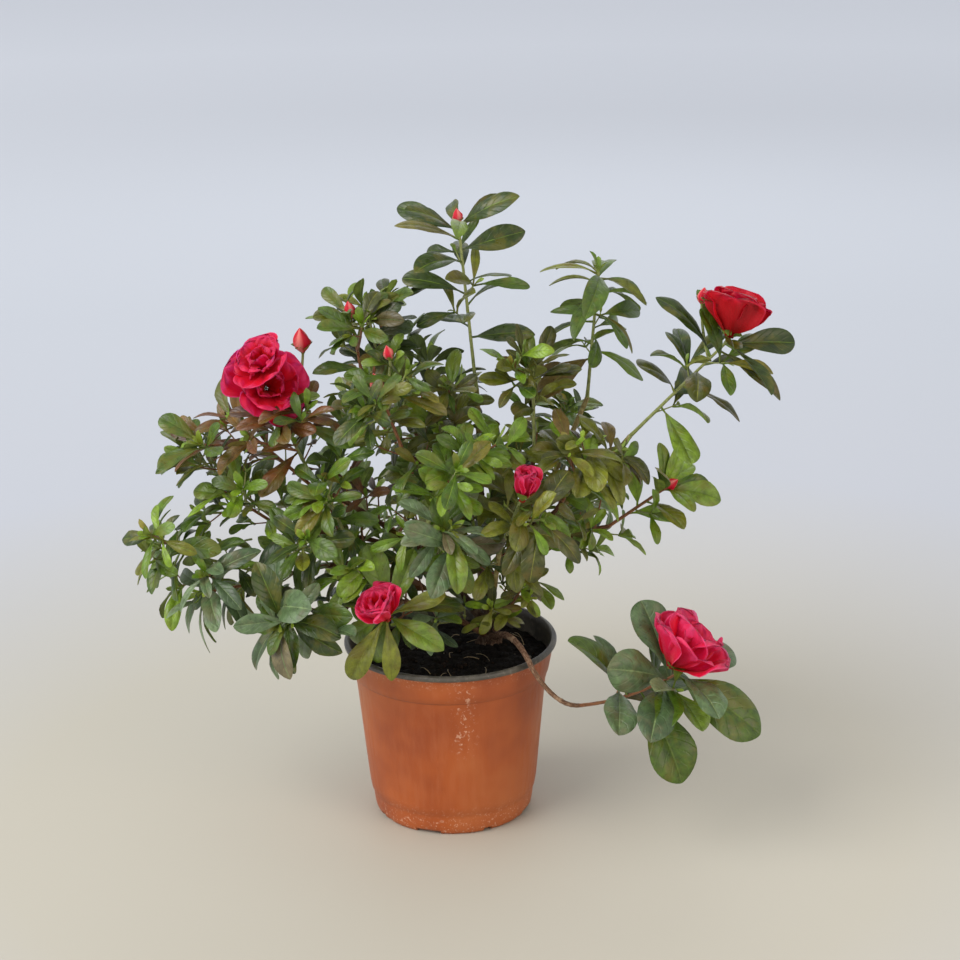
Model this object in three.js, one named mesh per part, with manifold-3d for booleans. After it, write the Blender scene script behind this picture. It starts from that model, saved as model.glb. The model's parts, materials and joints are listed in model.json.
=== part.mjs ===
// A potted azalea: a plastic nursery pot, its peat, a short trunk, boughs, and masses of leaves,
// buds and double blossom. Sizes are in millimetres and +Z is up. The origin is the centre of the
// pot's flat underside. The plant is seen from -Y, with +X to the right.

import * as THREE from 'three';
import { mergeVertices } from 'three/addons/utils/BufferGeometryUtils.js';
import Module from 'manifold-3d';

const wasm = await Module();
wasm.setup();

// Pot
const rimRadius = 65;
const potHeight = 111;
const lipHeight = 5;
const lipStand = 2.6;
const collarHeight = 11;
const footRadius = 48.5;
const wall = 1.2;
const floorTop = 4;
const ringInside = 42.5;
const footGroove = 2.6;
const discRadius = 30;
const potSides = 24;
const wallFoot = { out: 0.2, height: 3.5 };
const wallLow = { out: 3.1, height: 20 };
const wallHigh = { out: 9.4, height: 84.5 };
const collarOut = 12.8;
const lipEdge = { inset: 1.6, drop: 1.4 };
const lipInside = { inset: 3.2, drop: 0.4 };
const drainNotches = 8;
const notchTurn = 1.58;
const notch = { width: 16, narrower: 0.34, depth: 10, height: 4.4 };

// Peat
const peatLevel = 98.5;
const peatGap = 0.45;
const seatGap = 0.3;

// Trunk
const trunkFoot = [24, 20];
const trunkLength = 21;
const trunkGirth = 15;
const forkGirth = 9.6;
const trunkLean = { heading: 0, rise: 87 };

// Limbs, twigs and leaves
const limbSides = 6;
const limbSteps = 4;
const stemSteps = 3;
const sideTwigSteps = 1;
const bloomFacets = [9, 4];
const bloomHeight = 0.8;
const bloomRuffle = 0.13;
const bloomBall = 0.42;
const twinShare = 0.85;
const budHeight = 1.5;
const budRuffle = 0.06;
const budFacets = [6, 4];
const twigSides = 3;
const twigRadius = 1.35;
const sideTwigRadius = 1.1;
const twigTipShare = 0.7;
const limbGap = 0.32;
const seatStep = 0.02;
const footPoints = 12;
const footRises = [0, 0.5, 1, 2];
const neighbourGap = 0.45;
const ownLeafGap = 0.2;
const goldenTurn = 137.5;
const leafThickness = 1.1;
const leafWidestAt = 0.6;
const leafBroader = 1.2;
const leafFold = 0.12;
const leafTwist = 32;
const rootDepth = 0.3;
const whorlPitch = 1.2;
const ownLeafShare = 0.25;
const leafTurns = [0, 24, -24, 48, -48];
const crownAxis = [10, 25];
const smallestFacets = [0.02, 0.014, 0.01, 0.006, 0.003, 0.03];
const weldGrain = 1e-3;

// The boughs. Each leaves its parent at a share along it, where 1 is the parent's tip. Heading is
// the way it goes, in degrees from +X towards +Y. Rise is in degrees above level. Arch lifts its
// middle. Girths are diameters at its foot and its tip.
const boughs = [
  { name: 'centre_stem', from: 'trunk', at: 1, heading: 162, rise: 86, length: 97, arch: 0,
    girth: [6, 4.2] },
  { name: 'left_stem', from: 'trunk', at: 0.82, heading: -157, rise: 51, length: 71, arch: 4,
    girth: [5.4, 4] },
  { name: 'right_stem', from: 'trunk', at: 0.72, heading: -14, rise: 72, length: 84, arch: 0,
    girth: [5.4, 3.8] },
  { name: 'back_stem', from: 'trunk', at: 0.62, heading: 102, rise: 50, length: 75, arch: 5,
    girth: [5, 3.6] },
  { name: 'front_low_bough', from: 'trunk', at: 0.35, heading: -131, rise: 31, length: 86, arch: 3,
    girth: [4, 2.6] },
  { name: 'front_bud_bough', from: 'trunk', at: 0.84, heading: -83, rise: 53, length: 76, arch: 3,
    girth: [3.6, 2.6] },
  { name: 'trailing_stem', from: 'trunk', at: 0.25, heading: -72, rise: 7, length: 71, arch: 9,
    girth: [4.4, 3.2] },
  { name: 'trailing_bough', from: 'trailing_stem', at: 1, heading: 12, rise: -44, length: 38, arch: -6,
    girth: [3, 2.6] },
  { name: 'low_left_bough', from: 'left_stem', at: 0.72, heading: -165, rise: 1, length: 92, arch: 5,
    girth: [3.6, 2.4] },
  { name: 'mid_left_bough', from: 'left_stem', at: 0.86, heading: -177, rise: 13, length: 77, arch: 4,
    girth: [3.4, 2.4] },
  { name: 'high_left_bough', from: 'left_stem', at: 1, heading: -171, rise: 36, length: 69, arch: 2,
    girth: [3.6, 2.6] },
  { name: 'front_bough', from: 'left_stem', at: 0.94, heading: -81, rise: 31, length: 55, arch: 3,
    girth: [3.4, 2.6] },
  { name: 'inner_left_bough', from: 'left_stem', at: 0.56, heading: -147, rise: 30, length: 74,
    arch: -3, girth: [3.2, 2.4] },
  { name: 'left_crest_bough', from: 'centre_stem', at: 0.8, heading: -162, rise: 47, length: 94,
    arch: 3, girth: [3.8, 2.8] },
  { name: 'spire_bough', from: 'centre_stem', at: 1, heading: -98, rise: 75, length: 47, arch: 0,
    girth: [4, 3.4] },
  { name: 'bud_crest_bough', from: 'centre_stem', at: 0.7, heading: -131, rise: 38, length: 81, arch: 3,
    girth: [3.4, 2.6] },
  { name: 'right_spire_bough', from: 'right_stem', at: 1, heading: 34, rise: 60, length: 66, arch: 0,
    girth: [3.6, 3] },
  { name: 'right_bloom_bough', from: 'right_stem', at: 0.84, heading: -13, rise: 47, length: 78,
    arch: -3, girth: [3.6, 2.8] },
  { name: 'right_low_bough', from: 'right_stem', at: 0.5, heading: -6, rise: 27, length: 54, arch: 4,
    girth: [3, 2.4] },
  { name: 'olive_bough', from: 'right_stem', at: 0.76, heading: -77, rise: 74, length: 61, arch: 0,
    girth: [3.2, 2.6] },
  { name: 'right_heart_bough', from: 'right_stem', at: 0.62, heading: -57, rise: 49, length: 55,
    arch: 0, girth: [3, 2.4] },
  { name: 'low_front_bough', from: 'front_low_bough', at: 1, heading: -170, rise: -4, length: 36,
    arch: 2, girth: [2.6, 2.2] },
  { name: 'back_left_bough', from: 'back_stem', at: 1, heading: 147, rise: 29, length: 51, arch: 2,
    girth: [3.4, 2.6] },
  { name: 'back_right_bough', from: 'back_stem', at: 0.8, heading: 34, rise: 24, length: 58, arch: 2,
    girth: [3.2, 2.6] },
  { name: 'back_low_bough', from: 'back_stem', at: 0.66, heading: 128, rise: -11, length: 78, arch: 6,
    girth: [3.2, 2.4] },
];

// The masses of foliage. Each has one stem that goes on from its bough's tip, with leaves along
// it, a whorl of leaves at its tip, and side twigs that end in whorls. Bare is the share of the
// stem with no leaves. Leaf is a leaf's length, plump its width over its length, spread the angle
// it makes with its twig, hang how far its tip drops, as a share of its length, and facing how
// far the whorls turn to the light. Bloom is a bloom's width, and bud a bud's.
const masses = [
  { name: 'tall_spire', from: 'spire_bough', heading: 178, rise: 85, length: 102, leaves: 10, whorl: 6,
    twigs: 0, leaf: 40, plump: 0.4, spread: 68, hang: 0.04, facing: 0.2, bud: 7, tint: 'mid',
    seed: 931 },
  { name: 'right_spire', from: 'right_spire_bough', heading: -4, rise: 85, length: 79, leaves: 11,
    whorl: 6, twigs: 0, leaf: 40, plump: 0.4, spread: 68, hang: 0.32, facing: 0.3, tint: 'mid',
    seed: 657 },
  { name: 'right_bloom', from: 'right_bloom_bough', heading: -15, rise: 47, length: 86, leaves: 9,
    whorl: 6, twigs: 0, leaf: 45, plump: 0.44, spread: 69, hang: 0.07, facing: 0.6, bloom: 45,
    tint: 'mid', seed: 663 },
  { name: 'right_shoot', from: 'right_low_bough', heading: -16, rise: 38, length: 44, leaves: 4,
    whorl: 7, twigs: 0, leaf: 38, plump: 0.46, spread: 52, hang: 0.06, facing: 0.2, bud: 8,
    tint: 'fresh', seed: 504 },
  { name: 'trailing_bloom', from: 'trailing_bough', heading: -1, rise: 19, length: 62, arch: -4, bare: 0.35,
    leaves: 5, whorl: 7, twigs: 0, leaf: 56, plump: 0.56, spread: 79, hang: 0, facing: 1.3, bloom: 44,
    tint: 'grey', seed: 717 },
  { name: 'left_bloom', from: 'high_left_bough', heading: -148, rise: 65, length: 53, leaves: 5,
    whorl: 7, twigs: 2, leaf: 34, plump: 0.4, spread: 78, hang: 0.04, facing: 0.2, bloom: 46,
    twin: true, tint: 'bronze', seed: 636 },
  { name: 'left_shoulder', from: 'high_left_bough', heading: 179, rise: 43, length: 62, leaves: 6,
    whorl: 5, twigs: 1, leaf: 32, plump: 0.4, spread: 42, hang: 0.06, facing: 0.1, tint: 'bronze',
    seed: 653 },
  { name: 'left_crest', from: 'left_crest_bough', heading: 177, rise: 81, length: 48, leaves: 5,
    whorl: 5, twigs: 2, leaf: 30, plump: 0.44, spread: 60, hang: 0.06, facing: 0.4, bud: 8, tint: 'mid',
    seed: 979 },
  { name: 'mid_crest', from: 'left_crest_bough', heading: 46, rise: 74, length: 55, leaves: 5, whorl: 5,
    twigs: 2, leaf: 30, plump: 0.44, spread: 62, hang: 0.04, facing: 0.6, tint: 'deep', seed: 734 },
  { name: 'bud_crest', from: 'bud_crest_bough', heading: -155, rise: 71, length: 43, leaves: 4,
    whorl: 5, twigs: 2, leaf: 29, plump: 0.42, spread: 70, hang: 0.06, facing: 0.7, bud: 9, tint: 'mid',
    seed: 364 },
  { name: 'centre_top', from: 'centre_stem', heading: -118, rise: 58, length: 62, leaves: 6, whorl: 6,
    twigs: 1, leaf: 30, plump: 0.44, spread: 70, hang: 0.08, facing: 0.2, tint: 'olive', seed: 199 },
  { name: 'centre_front', from: 'front_bough', heading: -9, rise: 62, length: 53, leaves: 5, whorl: 7,
    twigs: 2, leaf: 29, plump: 0.48, spread: 68, hang: 0.06, facing: 0.7, tint: 'fresh', seed: 842 },
  { name: 'low_centre', from: 'front_bough', heading: -42, rise: -14, length: 20, leaves: 2, whorl: 5,
    twigs: 1, leaf: 39, plump: 0.44, spread: 72, hang: 0.14, facing: 0.7, tint: 'grey', seed: 941 },
  { name: 'olive_crest', from: 'olive_bough', heading: 93, rise: 83, length: 46, leaves: 5, whorl: 7,
    twigs: 2, leaf: 29, plump: 0.44, spread: 52, hang: 0.04, facing: 0.8, tint: 'olive', seed: 498 },
  { name: 'right_heart', from: 'right_heart_bough', heading: 5, rise: 62, length: 35, leaves: 4,
    whorl: 7, twigs: 2, leaf: 33, plump: 0.5, spread: 76, hang: 0.12, facing: 0.9, tint: 'olive',
    seed: 587 },
  { name: 'front_bud', from: 'front_bud_bough', heading: -60, rise: 58, length: 44, leaves: 5, whorl: 6,
    twigs: 1, leaf: 37, plump: 0.48, spread: 80, hang: 0.1, facing: 0.3, bud: 16, tint: 'olive',
    seed: 695 },
  { name: 'base_sprouts', from: 'trunk', at: 0.5, heading: -59, rise: 50, length: 48, bare: 0.2,
    leaves: 6, whorl: 5, twigs: 1, leaf: 26, plump: 0.44, spread: 70, hang: 0.12, facing: 0.4,
    tint: 'olive', seed: 606 },
  { name: 'left_tip_high', from: 'mid_left_bough', heading: 177, rise: 41, length: 77, leaves: 5,
    whorl: 6, twigs: 1, leaf: 33, plump: 0.44, spread: 50, hang: 0.04, facing: 0, tint: 'mid',
    seed: 352 },
  { name: 'left_tip_mid', from: 'mid_left_bough', heading: -155, rise: 39, length: 51, leaves: 5,
    whorl: 5, twigs: 2, leaf: 29, plump: 0.44, spread: 64, hang: 0.04, facing: 0.8, tint: 'fresh',
    seed: 257 },
  { name: 'left_tip_low', from: 'low_left_bough', heading: -179, rise: 16, length: 71, bare: 0.1,
    leaves: 9, whorl: 7, twigs: 2, leaf: 33, plump: 0.44, spread: 82, hang: 0.18, facing: 0.6,
    tint: 'fresh', seed: 5 },
  { name: 'left_hanging', from: 'low_left_bough', heading: -157, rise: 0, length: 44, bare: 0.1,
    leaves: 5, whorl: 6, twigs: 1, leaf: 38, plump: 0.4, spread: 76, hang: 0.36, facing: 0.2,
    tint: 'grey', seed: 34 },
  { name: 'left_low_front', from: 'low_front_bough', heading: -161, rise: 9, length: 36, bare: 0.05,
    leaves: 5, whorl: 5, twigs: 1, leaf: 42, plump: 0.5, spread: 88, hang: 0.18, facing: 0.4,
    tint: 'grey', seed: 393 },
  { name: 'left_inner', from: 'inner_left_bough', heading: -156, rise: 70, length: 39, leaves: 5,
    whorl: 5, twigs: 2, leaf: 29, plump: 0.44, spread: 70, hang: 0.08, facing: 0.7, tint: 'fresh',
    seed: 971 },
  { name: 'left_inner_low', from: 'inner_left_bough', heading: -150, rise: 4, length: 30, leaves: 3,
    whorl: 5, twigs: 1, leaf: 30, plump: 0.44, spread: 72, hang: 0.06, facing: 0.8, tint: 'mid',
    seed: 635 },
  { name: 'front_bloom', from: 'front_low_bough', heading: -112, rise: -1, length: 26, leaves: 2,
    whorl: 8, twigs: 0, leaf: 42, plump: 0.44, spread: 94, hang: 0.1, facing: 0.5, bloom: 27,
    tint: 'mid', seed: 997 },
  { name: 'front_fresh', from: 'front_low_bough', heading: -158, rise: 50, length: 30, leaves: 3,
    whorl: 5, twigs: 1, leaf: 28, plump: 0.44, spread: 64, hang: 0.08, facing: 0.7, tint: 'fresh',
    seed: 440 },
  { name: 'back_left', from: 'back_left_bough', heading: 161, rise: 51, length: 50, leaves: 5, whorl: 5,
    twigs: 2, leaf: 31, plump: 0.42, spread: 52, hang: 0.06, facing: 0.5, tint: 'mid', seed: 850 },
  { name: 'back_top', from: 'back_left_bough', heading: 17, rise: 77, length: 62, leaves: 6, whorl: 5,
    twigs: 2, leaf: 31, plump: 0.44, spread: 50, hang: 0.1, facing: 0.7, tint: 'deep', seed: 932 },
  { name: 'back_right', from: 'back_right_bough', heading: 26, rise: 56, length: 40, leaves: 5,
    whorl: 5, twigs: 2, leaf: 32, plump: 0.44, spread: 68, hang: 0.1, facing: 0.3, tint: 'mid',
    seed: 111 },
  { name: 'back_right_low', from: 'back_right_bough', heading: 7, rise: -28, length: 46, leaves: 5,
    whorl: 5, twigs: 1, leaf: 29, plump: 0.44, spread: 78, hang: 0.2, facing: 0.2, tint: 'mid',
    seed: 970 },
  { name: 'back_low', from: 'back_low_bough', heading: 152, rise: 18, length: 46, leaves: 5, whorl: 5,
    twigs: 1, leaf: 35, plump: 0.44, spread: 64, hang: 0.08, facing: 0.3, tint: 'grey', seed: 320 },
  { name: 'back_mid', from: 'back_low_bough', heading: 50, rise: 32, length: 46, leaves: 5, whorl: 5,
    twigs: 2, leaf: 32, plump: 0.44, spread: 68, hang: 0.16, facing: 0.3, tint: 'mid', seed: 103 },
];

const barkColour = '#7b5f4b';
const tints = {
  fresh: '#5f8a35',
  mid: '#48703a',
  deep: '#33513a',
  grey: '#5d8470',
  olive: '#6b7136',
  bronze: '#7a5a3a',
};

function plainMaterial(colour, roughness) {
  return new THREE.MeshStandardMaterial({ color: colour, roughness, metalness: 0 });
}

const potPlastic = plainMaterial('#ad613d', 0.45);
const peatMaterial = plainMaterial('#1d1a18', 0.95);
const bark = plainMaterial(barkColour, 0.85);
const foliage = {};
for (const [name, colour] of Object.entries(tints)) {
  foliage[name] = plainMaterial(colour, 0.6);
}

const vertical = new THREE.Vector3(0, 0, 1);
const sideways = new THREE.Vector3(1, 0, 0);

// A seeded row of random numbers: the same seed always deals the same numbers.
class Dice {
  constructor(seed) {
    this.state = Math.imul(seed, 2654435761) >>> 0;
    this.next();
    this.next();
  }

  next() {
    this.state = (Math.imul(this.state, 1664525) + 1013904223) >>> 0;
    return this.state / 4294967296;
  }

  between(low, high) {
    return low + (high - low) * this.next();
  }
}

// The unit vector of a heading and a rise.
function direction(heading, rise) {
  const h = THREE.MathUtils.degToRad(heading);
  const r = THREE.MathUtils.degToRad(rise);
  return new THREE.Vector3(Math.cos(r) * Math.cos(h), Math.cos(r) * Math.sin(h), Math.sin(r));
}

// What is left of a vector across an axis, at unit length, or a fixed side where nothing is left.
function across(vector, axis) {
  const rest = vector.clone().addScaledVector(axis, -vector.dot(axis));
  if (rest.length() > 0.05) {
    return rest.normalize();
  }
  return sideways.clone().addScaledVector(axis, -sideways.dot(axis)).normalize();
}

// Whether a unit vector points so nearly up or down that it needs a level reference.
const steep = (way) => Math.abs(way.z) > 0.9;

// A three.js geometry as a closed solid that can be joined and cut, and back.
function solidOf(geometry) {
  const bare = geometry.clone();
  bare.deleteAttribute('normal');
  bare.deleteAttribute('uv');
  const welded = mergeVertices(bare, 1e-4);
  return new wasm.Manifold(new wasm.Mesh({
    numProp: 3,
    vertProperties: new Float32Array(welded.attributes.position.array),
    triVerts: new Uint32Array(welded.index.array),
  }));
}

function geometryOf(solid) {
  const mesh = solid.getMesh();
  const geometry = new THREE.BufferGeometry();
  geometry.setAttribute('position', new THREE.BufferAttribute(mesh.vertProperties, 3));
  geometry.setIndex(new THREE.BufferAttribute(mesh.triVerts, 1));
  return geometry;
}

// Whether each edge belongs to two faces only, once points that nearly meet are taken as one.
function edgesPaired(solid) {
  const { vertProperties, triVerts } = solid.getMesh();
  const point = (i) => [0, 1, 2].map((n) => Math.round(vertProperties[3 * i + n] / weldGrain)).join();
  const uses = new Map();
  for (let i = 0; i < triVerts.length; i += 3) {
    const corners = [point(triVerts[i]), point(triVerts[i + 1]), point(triVerts[i + 2])];
    if (new Set(corners).size === 3) {
      for (const [a, b] of [[0, 1], [1, 2], [0, 2]]) {
        const edge = [corners[a], corners[b]].sort().join('|');
        uses.set(edge, (uses.get(edge) ?? 0) + 1);
      }
    }
  }
  return [...uses.values()].every((count) => count === 2);
}

// The largest of the bodies in a joined solid, with loose scraps and sealed hollows dropped. Small
// facets are merged, less and less boldly until no edge is pinched.
function largestBody(solid) {
  let largest = null;
  for (const facet of smallestFacets) {
    const parts = solid.simplify(facet).decompose();
    largest = parts.reduce((best, part) => (part.volume() > best.volume() ? part : best));
    if (edgesPaired(largest)) {
      return largest;
    }
  }
  return largest;
}

// A tapering limb: a cylinder whose rings are set along a curve. The girth rule gives each
// vertex's distance from the curve, from its share along the limb and its angle round it.
function limbGeometry(curve, radiusRule, sides, steps) {
  const geometry = new THREE.CylinderGeometry(1, 1, 1, sides, steps);
  const position = geometry.attributes.position;
  const middle = curve.getTangent(0.5);
  const reference = across(steep(middle) ? sideways : vertical, middle);
  for (let i = 0; i < position.count; i += 1) {
    const share = position.getY(i) + 0.5;
    const tangent = curve.getTangent(share);
    const over = across(reference, tangent);
    const side = new THREE.Vector3().crossVectors(tangent, over);
    const reach = radiusRule(share, Math.atan2(position.getZ(i), position.getX(i)));
    const place = curve.getPoint(share)
      .addScaledVector(side, position.getX(i) * reach)
      .addScaledVector(over, position.getZ(i) * reach);
    position.setXYZ(i, place.x, place.y, place.z);
  }
  return geometry;
}

const taper = (foot, tip) => (share) => foot + (tip - foot) * share;

// A body for the test of clearance: its corners, the normals of its faces and the ways of its
// edges. Twigs and limbs are straight pieces of line with a radius round them.
function stick(start, end, radius) {
  return box({ corners: [start, end], normals: [], edges: [end.clone().sub(start).normalize()], radius });
}

function ball(centre, radius) {
  return box({ corners: [centre], normals: [], edges: [], radius });
}

function block(corners, faces) {
  const normals = faces.map(([a, b, c]) => new THREE.Vector3()
    .crossVectors(corners[b].clone().sub(corners[a]), corners[c].clone().sub(corners[a])).normalize());
  const edges = [];
  for (const face of faces) {
    for (let i = 0; i < face.length; i += 1) {
      const from = face[i];
      const to = face[(i + 1) % face.length];
      if (from < to) {
        edges.push(corners[to].clone().sub(corners[from]).normalize());
      }
    }
  }
  return box({ corners, normals, edges, radius: 0 });
}

function box(body) {
  body.bounds = new THREE.Box3().setFromPoints(body.corners).expandByScalar(body.radius);
  body.centre = body.bounds.getCenter(new THREE.Vector3());
  return body;
}

// Two bodies are clear of each other when along some axis they lie at least the gap apart.
function clear(a, b, gap) {
  if (!a.bounds.clone().expandByScalar(gap).intersectsBox(b.bounds)) {
    return true;
  }
  const need = gap + a.radius + b.radius;
  const apart = (axis) => {
    const length = axis.length();
    if (length < 1e-6) {
      return false;
    }
    let [aLow, aHigh, bLow, bHigh] = [Infinity, -Infinity, Infinity, -Infinity];
    for (const corner of a.corners) {
      const s = corner.dot(axis) / length;
      aLow = Math.min(aLow, s);
      aHigh = Math.max(aHigh, s);
    }
    for (const corner of b.corners) {
      const s = corner.dot(axis) / length;
      bLow = Math.min(bLow, s);
      bHigh = Math.max(bHigh, s);
    }
    return aLow - bHigh >= need || bLow - aHigh >= need;
  };
  if (apart(a.centre.clone().sub(b.centre)) || a.normals.some(apart) || b.normals.some(apart)) {
    return true;
  }
  return a.edges.some((p) => b.edges.some((q) => apart(new THREE.Vector3().crossVectors(p, q))));
}

// The pot
function potOutline() {
  const collarFoot = potHeight - lipHeight - collarHeight;
  const at = ({ out, height }, inwards = 0) => [footRadius + out - inwards, height];
  const outer = [
    [0, 0], [discRadius, 0], [discRadius + 1.5, footGroove], [ringInside - 2, footGroove],
    [ringInside, 0], [footRadius - 2, 0], at(wallFoot), at(wallLow), at(wallHigh),
    [footRadius + collarOut - 0.6, collarFoot - 1], [footRadius + collarOut, collarFoot],
    [rimRadius - lipStand, potHeight - lipHeight], [rimRadius, potHeight - lipHeight],
    [rimRadius, potHeight - lipEdge.drop], [rimRadius - lipEdge.inset, potHeight],
  ];
  const inner = [
    [rimRadius - lipInside.inset, potHeight - lipInside.drop],
    [rimRadius - lipStand - wall, potHeight - lipHeight], [footRadius + collarOut - wall, collarFoot],
    at(wallHigh, wall), at(wallLow, wall), [footRadius + wallFoot.out - wall, floorTop], [0, floorTop],
  ];
  return { outer, inner };
}

const lathe = (points) => new THREE.LatheGeometry(points.map(([r, z]) => new THREE.Vector2(r, z)), potSides)
  .rotateX(Math.PI / 2);

// A lathed body has its faces pointing out when its profile runs the right way round.
function lathed(points) {
  const solid = solidOf(lathe(points));
  return solid.volume() > 0 ? solid : solidOf(lathe([...points].reverse()));
}

function makePot() {
  const { outer, inner } = potOutline();
  let pot = lathed([...outer, ...inner]);
  for (let i = 0; i < drainNotches; i += 1) {
    const turn = (i + notchTurn) / drainNotches * 2 * Math.PI;
    const width = notch.width * (i % 2 ? notch.narrower : 1);
    const cutter = new THREE.BoxGeometry(notch.depth, width, notch.height)
      .translate(footRadius - 1, 0, 0)
      .rotateZ(turn);
    pot = pot.subtract(solidOf(cutter));
  }
  return geometryOf(pot);
}

// The peat fills the pot to a little below its rim, a hair clear of the wall.
function makePeat() {
  const { inner } = potOutline();
  const wallPoints = inner.filter(([r, z]) => r > 0 && z < peatLevel - 2).map(([r, z]) => [r - peatGap, z]);
  wallPoints[wallPoints.length - 1][1] = floorTop + seatGap;
  const topRadius = wallPoints[0][0] + 0.4;
  const profile = [[0, floorTop + seatGap], ...wallPoints.reverse(), [topRadius, peatLevel], [0, peatLevel]];
  return geometryOf(lathed(profile));
}

// The trunk, from its flat cut at the peat's surface to its fork, with ribs that run out into
// the root flare.
const limbs = {};

function makeTrunk() {
  const foot = new THREE.Vector3(trunkFoot[0], trunkFoot[1], peatLevel + seatGap);
  const tip = foot.clone().addScaledVector(direction(trunkLean.heading, trunkLean.rise), trunkLength);
  const curve = new THREE.LineCurve3(foot, tip);
  const footCurve = { getPoint: (t) => curve.getPoint(t), getTangent: () => vertical.clone() };
  const radiusRule = (share, angle) => {
    const low = (1 - share) ** 2;
    return (forkGirth + (trunkGirth - forkGirth) * low) / 2 * (1 + 0.1 * low * Math.cos(4 * angle + 0.6));
  };
  limbs.trunk = { curve: footCurve, radius: radiusRule, steps: limbSteps };
  registerLimb(limbs.trunk, 'trunk');
  return limbGeometry(footCurve, radiusRule, 12, limbSteps);
}

const bodies = [];

function registerLimb(limb, owner) {
  const { steps } = limb;
  for (let i = 0; i < steps; i += 1) {
    const a = limb.curve.getPoint(i / steps);
    const b = limb.curve.getPoint((i + 1) / steps);
    bodies.push({ owner, kind: 'limb', ...stick(a, b, limb.radius(i / steps, 0)) });
  }
}

// A bent line from a start along a heading, with its middle lifted.
function archedCurve(start, row) {
  const chord = direction(row.heading, row.rise).multiplyScalar(row.length);
  const middle = start.clone().addScaledVector(chord, 0.5);
  middle.z += 2 * (row.arch ?? 0);
  return new THREE.QuadraticBezierCurve3(start, middle, start.clone().add(chord));
}

// A place on a limb's straight pieces, and the way that the limb goes there.
function placeOn(limb, share) {
  const piece = Math.min(limb.steps - 1, Math.floor(share * limb.steps));
  const start = limb.curve.getPoint(piece / limb.steps);
  const end = limb.curve.getPoint((piece + 1) / limb.steps);
  const along = share === 1 ? limb.curve.getTangent(1) : end.clone().sub(start).normalize();
  return { point: start.lerp(end, share * limb.steps - piece), along };
}

// How far a limb's foot, at a trial place, lies from its parent. The parent is a round bar that
// goes on past the joint, or one that ends there.
function footGap(place, way, radius, bar) {
  const over = across(steep(way) ? sideways : vertical, way);
  const side = new THREE.Vector3().crossVectors(way, over);
  let nearest = Infinity;
  for (let i = 0; i < footPoints; i += 1) {
    const angle = i / footPoints * 2 * Math.PI;
    for (const rise of footRises) {
      const rest = place.clone().sub(bar.point)
        .addScaledVector(over, radius * Math.cos(angle))
        .addScaledVector(side, radius * Math.sin(angle))
        .addScaledVector(way, radius * rise);
      const beyond = rest.dot(bar.along);
      const beside = rest.addScaledVector(bar.along, -beyond).length() - bar.radius;
      const past = bar.ends && beyond > 0;
      nearest = Math.min(nearest, past ? Math.hypot(beyond, Math.max(0, beside)) : beside);
    }
  }
  return nearest;
}

// Where a limb or stem starts: its foot seats a hair clear of its parent, past the parent's tip
// or beside its skin. Limbs that share a tip stand round it.
function seat(row, radius) {
  const parent = limbs[row.from];
  const share = row.at ?? 1;
  const origin = new THREE.Vector3();
  const way = archedCurve(origin, row).getTangent(0);
  const { point, along } = placeOn(parent, share);
  const out = across(way, along);
  const over = across(sideways, along);
  const angle = Math.atan2(out.dot(over), out.dot(over.cross(along).negate()));
  const bar = { point: point.clone(), along, radius: parent.radius(share, angle), ends: share === 1 };
  const sharing = [...boughs, ...masses].filter((other) => other.from === row.from && (other.at ?? 1) === 1);
  if (bar.ends && sharing.length > 1) {
    const others = sharing.filter((other) => other !== row)
      .map((other) => archedCurve(origin, other).getTangent(0));
    const away = others.reduce((sum, other) => sum.sub(other), way.clone().multiplyScalar(others.length));
    point.addScaledVector(across(away, along), radius + limbGap);
  }
  const outwards = bar.ends ? along : out;
  while (footGap(point, way, radius, bar) < limbGap) {
    point.addScaledVector(outwards, seatStep);
  }
  return point;
}

function makeBough(row) {
  const [foot, tip] = row.girth.map((girth) => girth / 2);
  const curve = archedCurve(seat(row, foot), row);
  limbs[row.name] = { curve, radius: taper(foot, tip), steps: limbSteps };
  registerLimb(limbs[row.name], row.name);
  return limbGeometry(curve, taper(foot, tip), limbSides, limbSteps);
}

// A leaf: a three-sided double pyramid drawn out into a folded blade, from its root in the twig
// to its tip, with a keel below. Its corners are tip, right, keel, root and left.
const leafFaces = [[0, 1, 4], [3, 4, 1], [0, 2, 1], [0, 4, 2], [3, 1, 2], [3, 2, 4]];

function leafCorners({ root, way, lift, length, plump, hang, rootShare }) {
  const side = new THREE.Vector3().crossVectors(lift, way);
  const half = length * plump * leafBroader / 2;
  const at = (along, aside, up) => root.clone()
    .addScaledVector(way, along).addScaledVector(side, aside).addScaledVector(lift, up);
  const middle = length * leafWidestAt;
  const edge = half * leafFold;
  return [
    at(length, 0, -hang * length),
    at(middle, half, edge),
    at(middle, 0, edge - leafThickness),
    at(length * rootShare - rootDepth, 0, 0),
    at(middle, -half, edge),
  ];
}

function leafSolid(corners) {
  const geometry = new THREE.SphereGeometry(1, 3, 2);
  const position = geometry.attributes.position;
  // The ball's poles lie on +Y and -Y, and its belt has one corner on -X and one to each side.
  for (let i = 0; i < position.count; i += 1) {
    const [x, y, z] = [position.getX(i), position.getY(i), position.getZ(i)];
    const corner = [y > 0.5, z > 0.5, x < -0.5, y < -0.5, z < -0.5].indexOf(true);
    position.setXYZ(i, corners[corner].x, corners[corner].y, corners[corner].z);
  }
  return solidOf(geometry);
}

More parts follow.
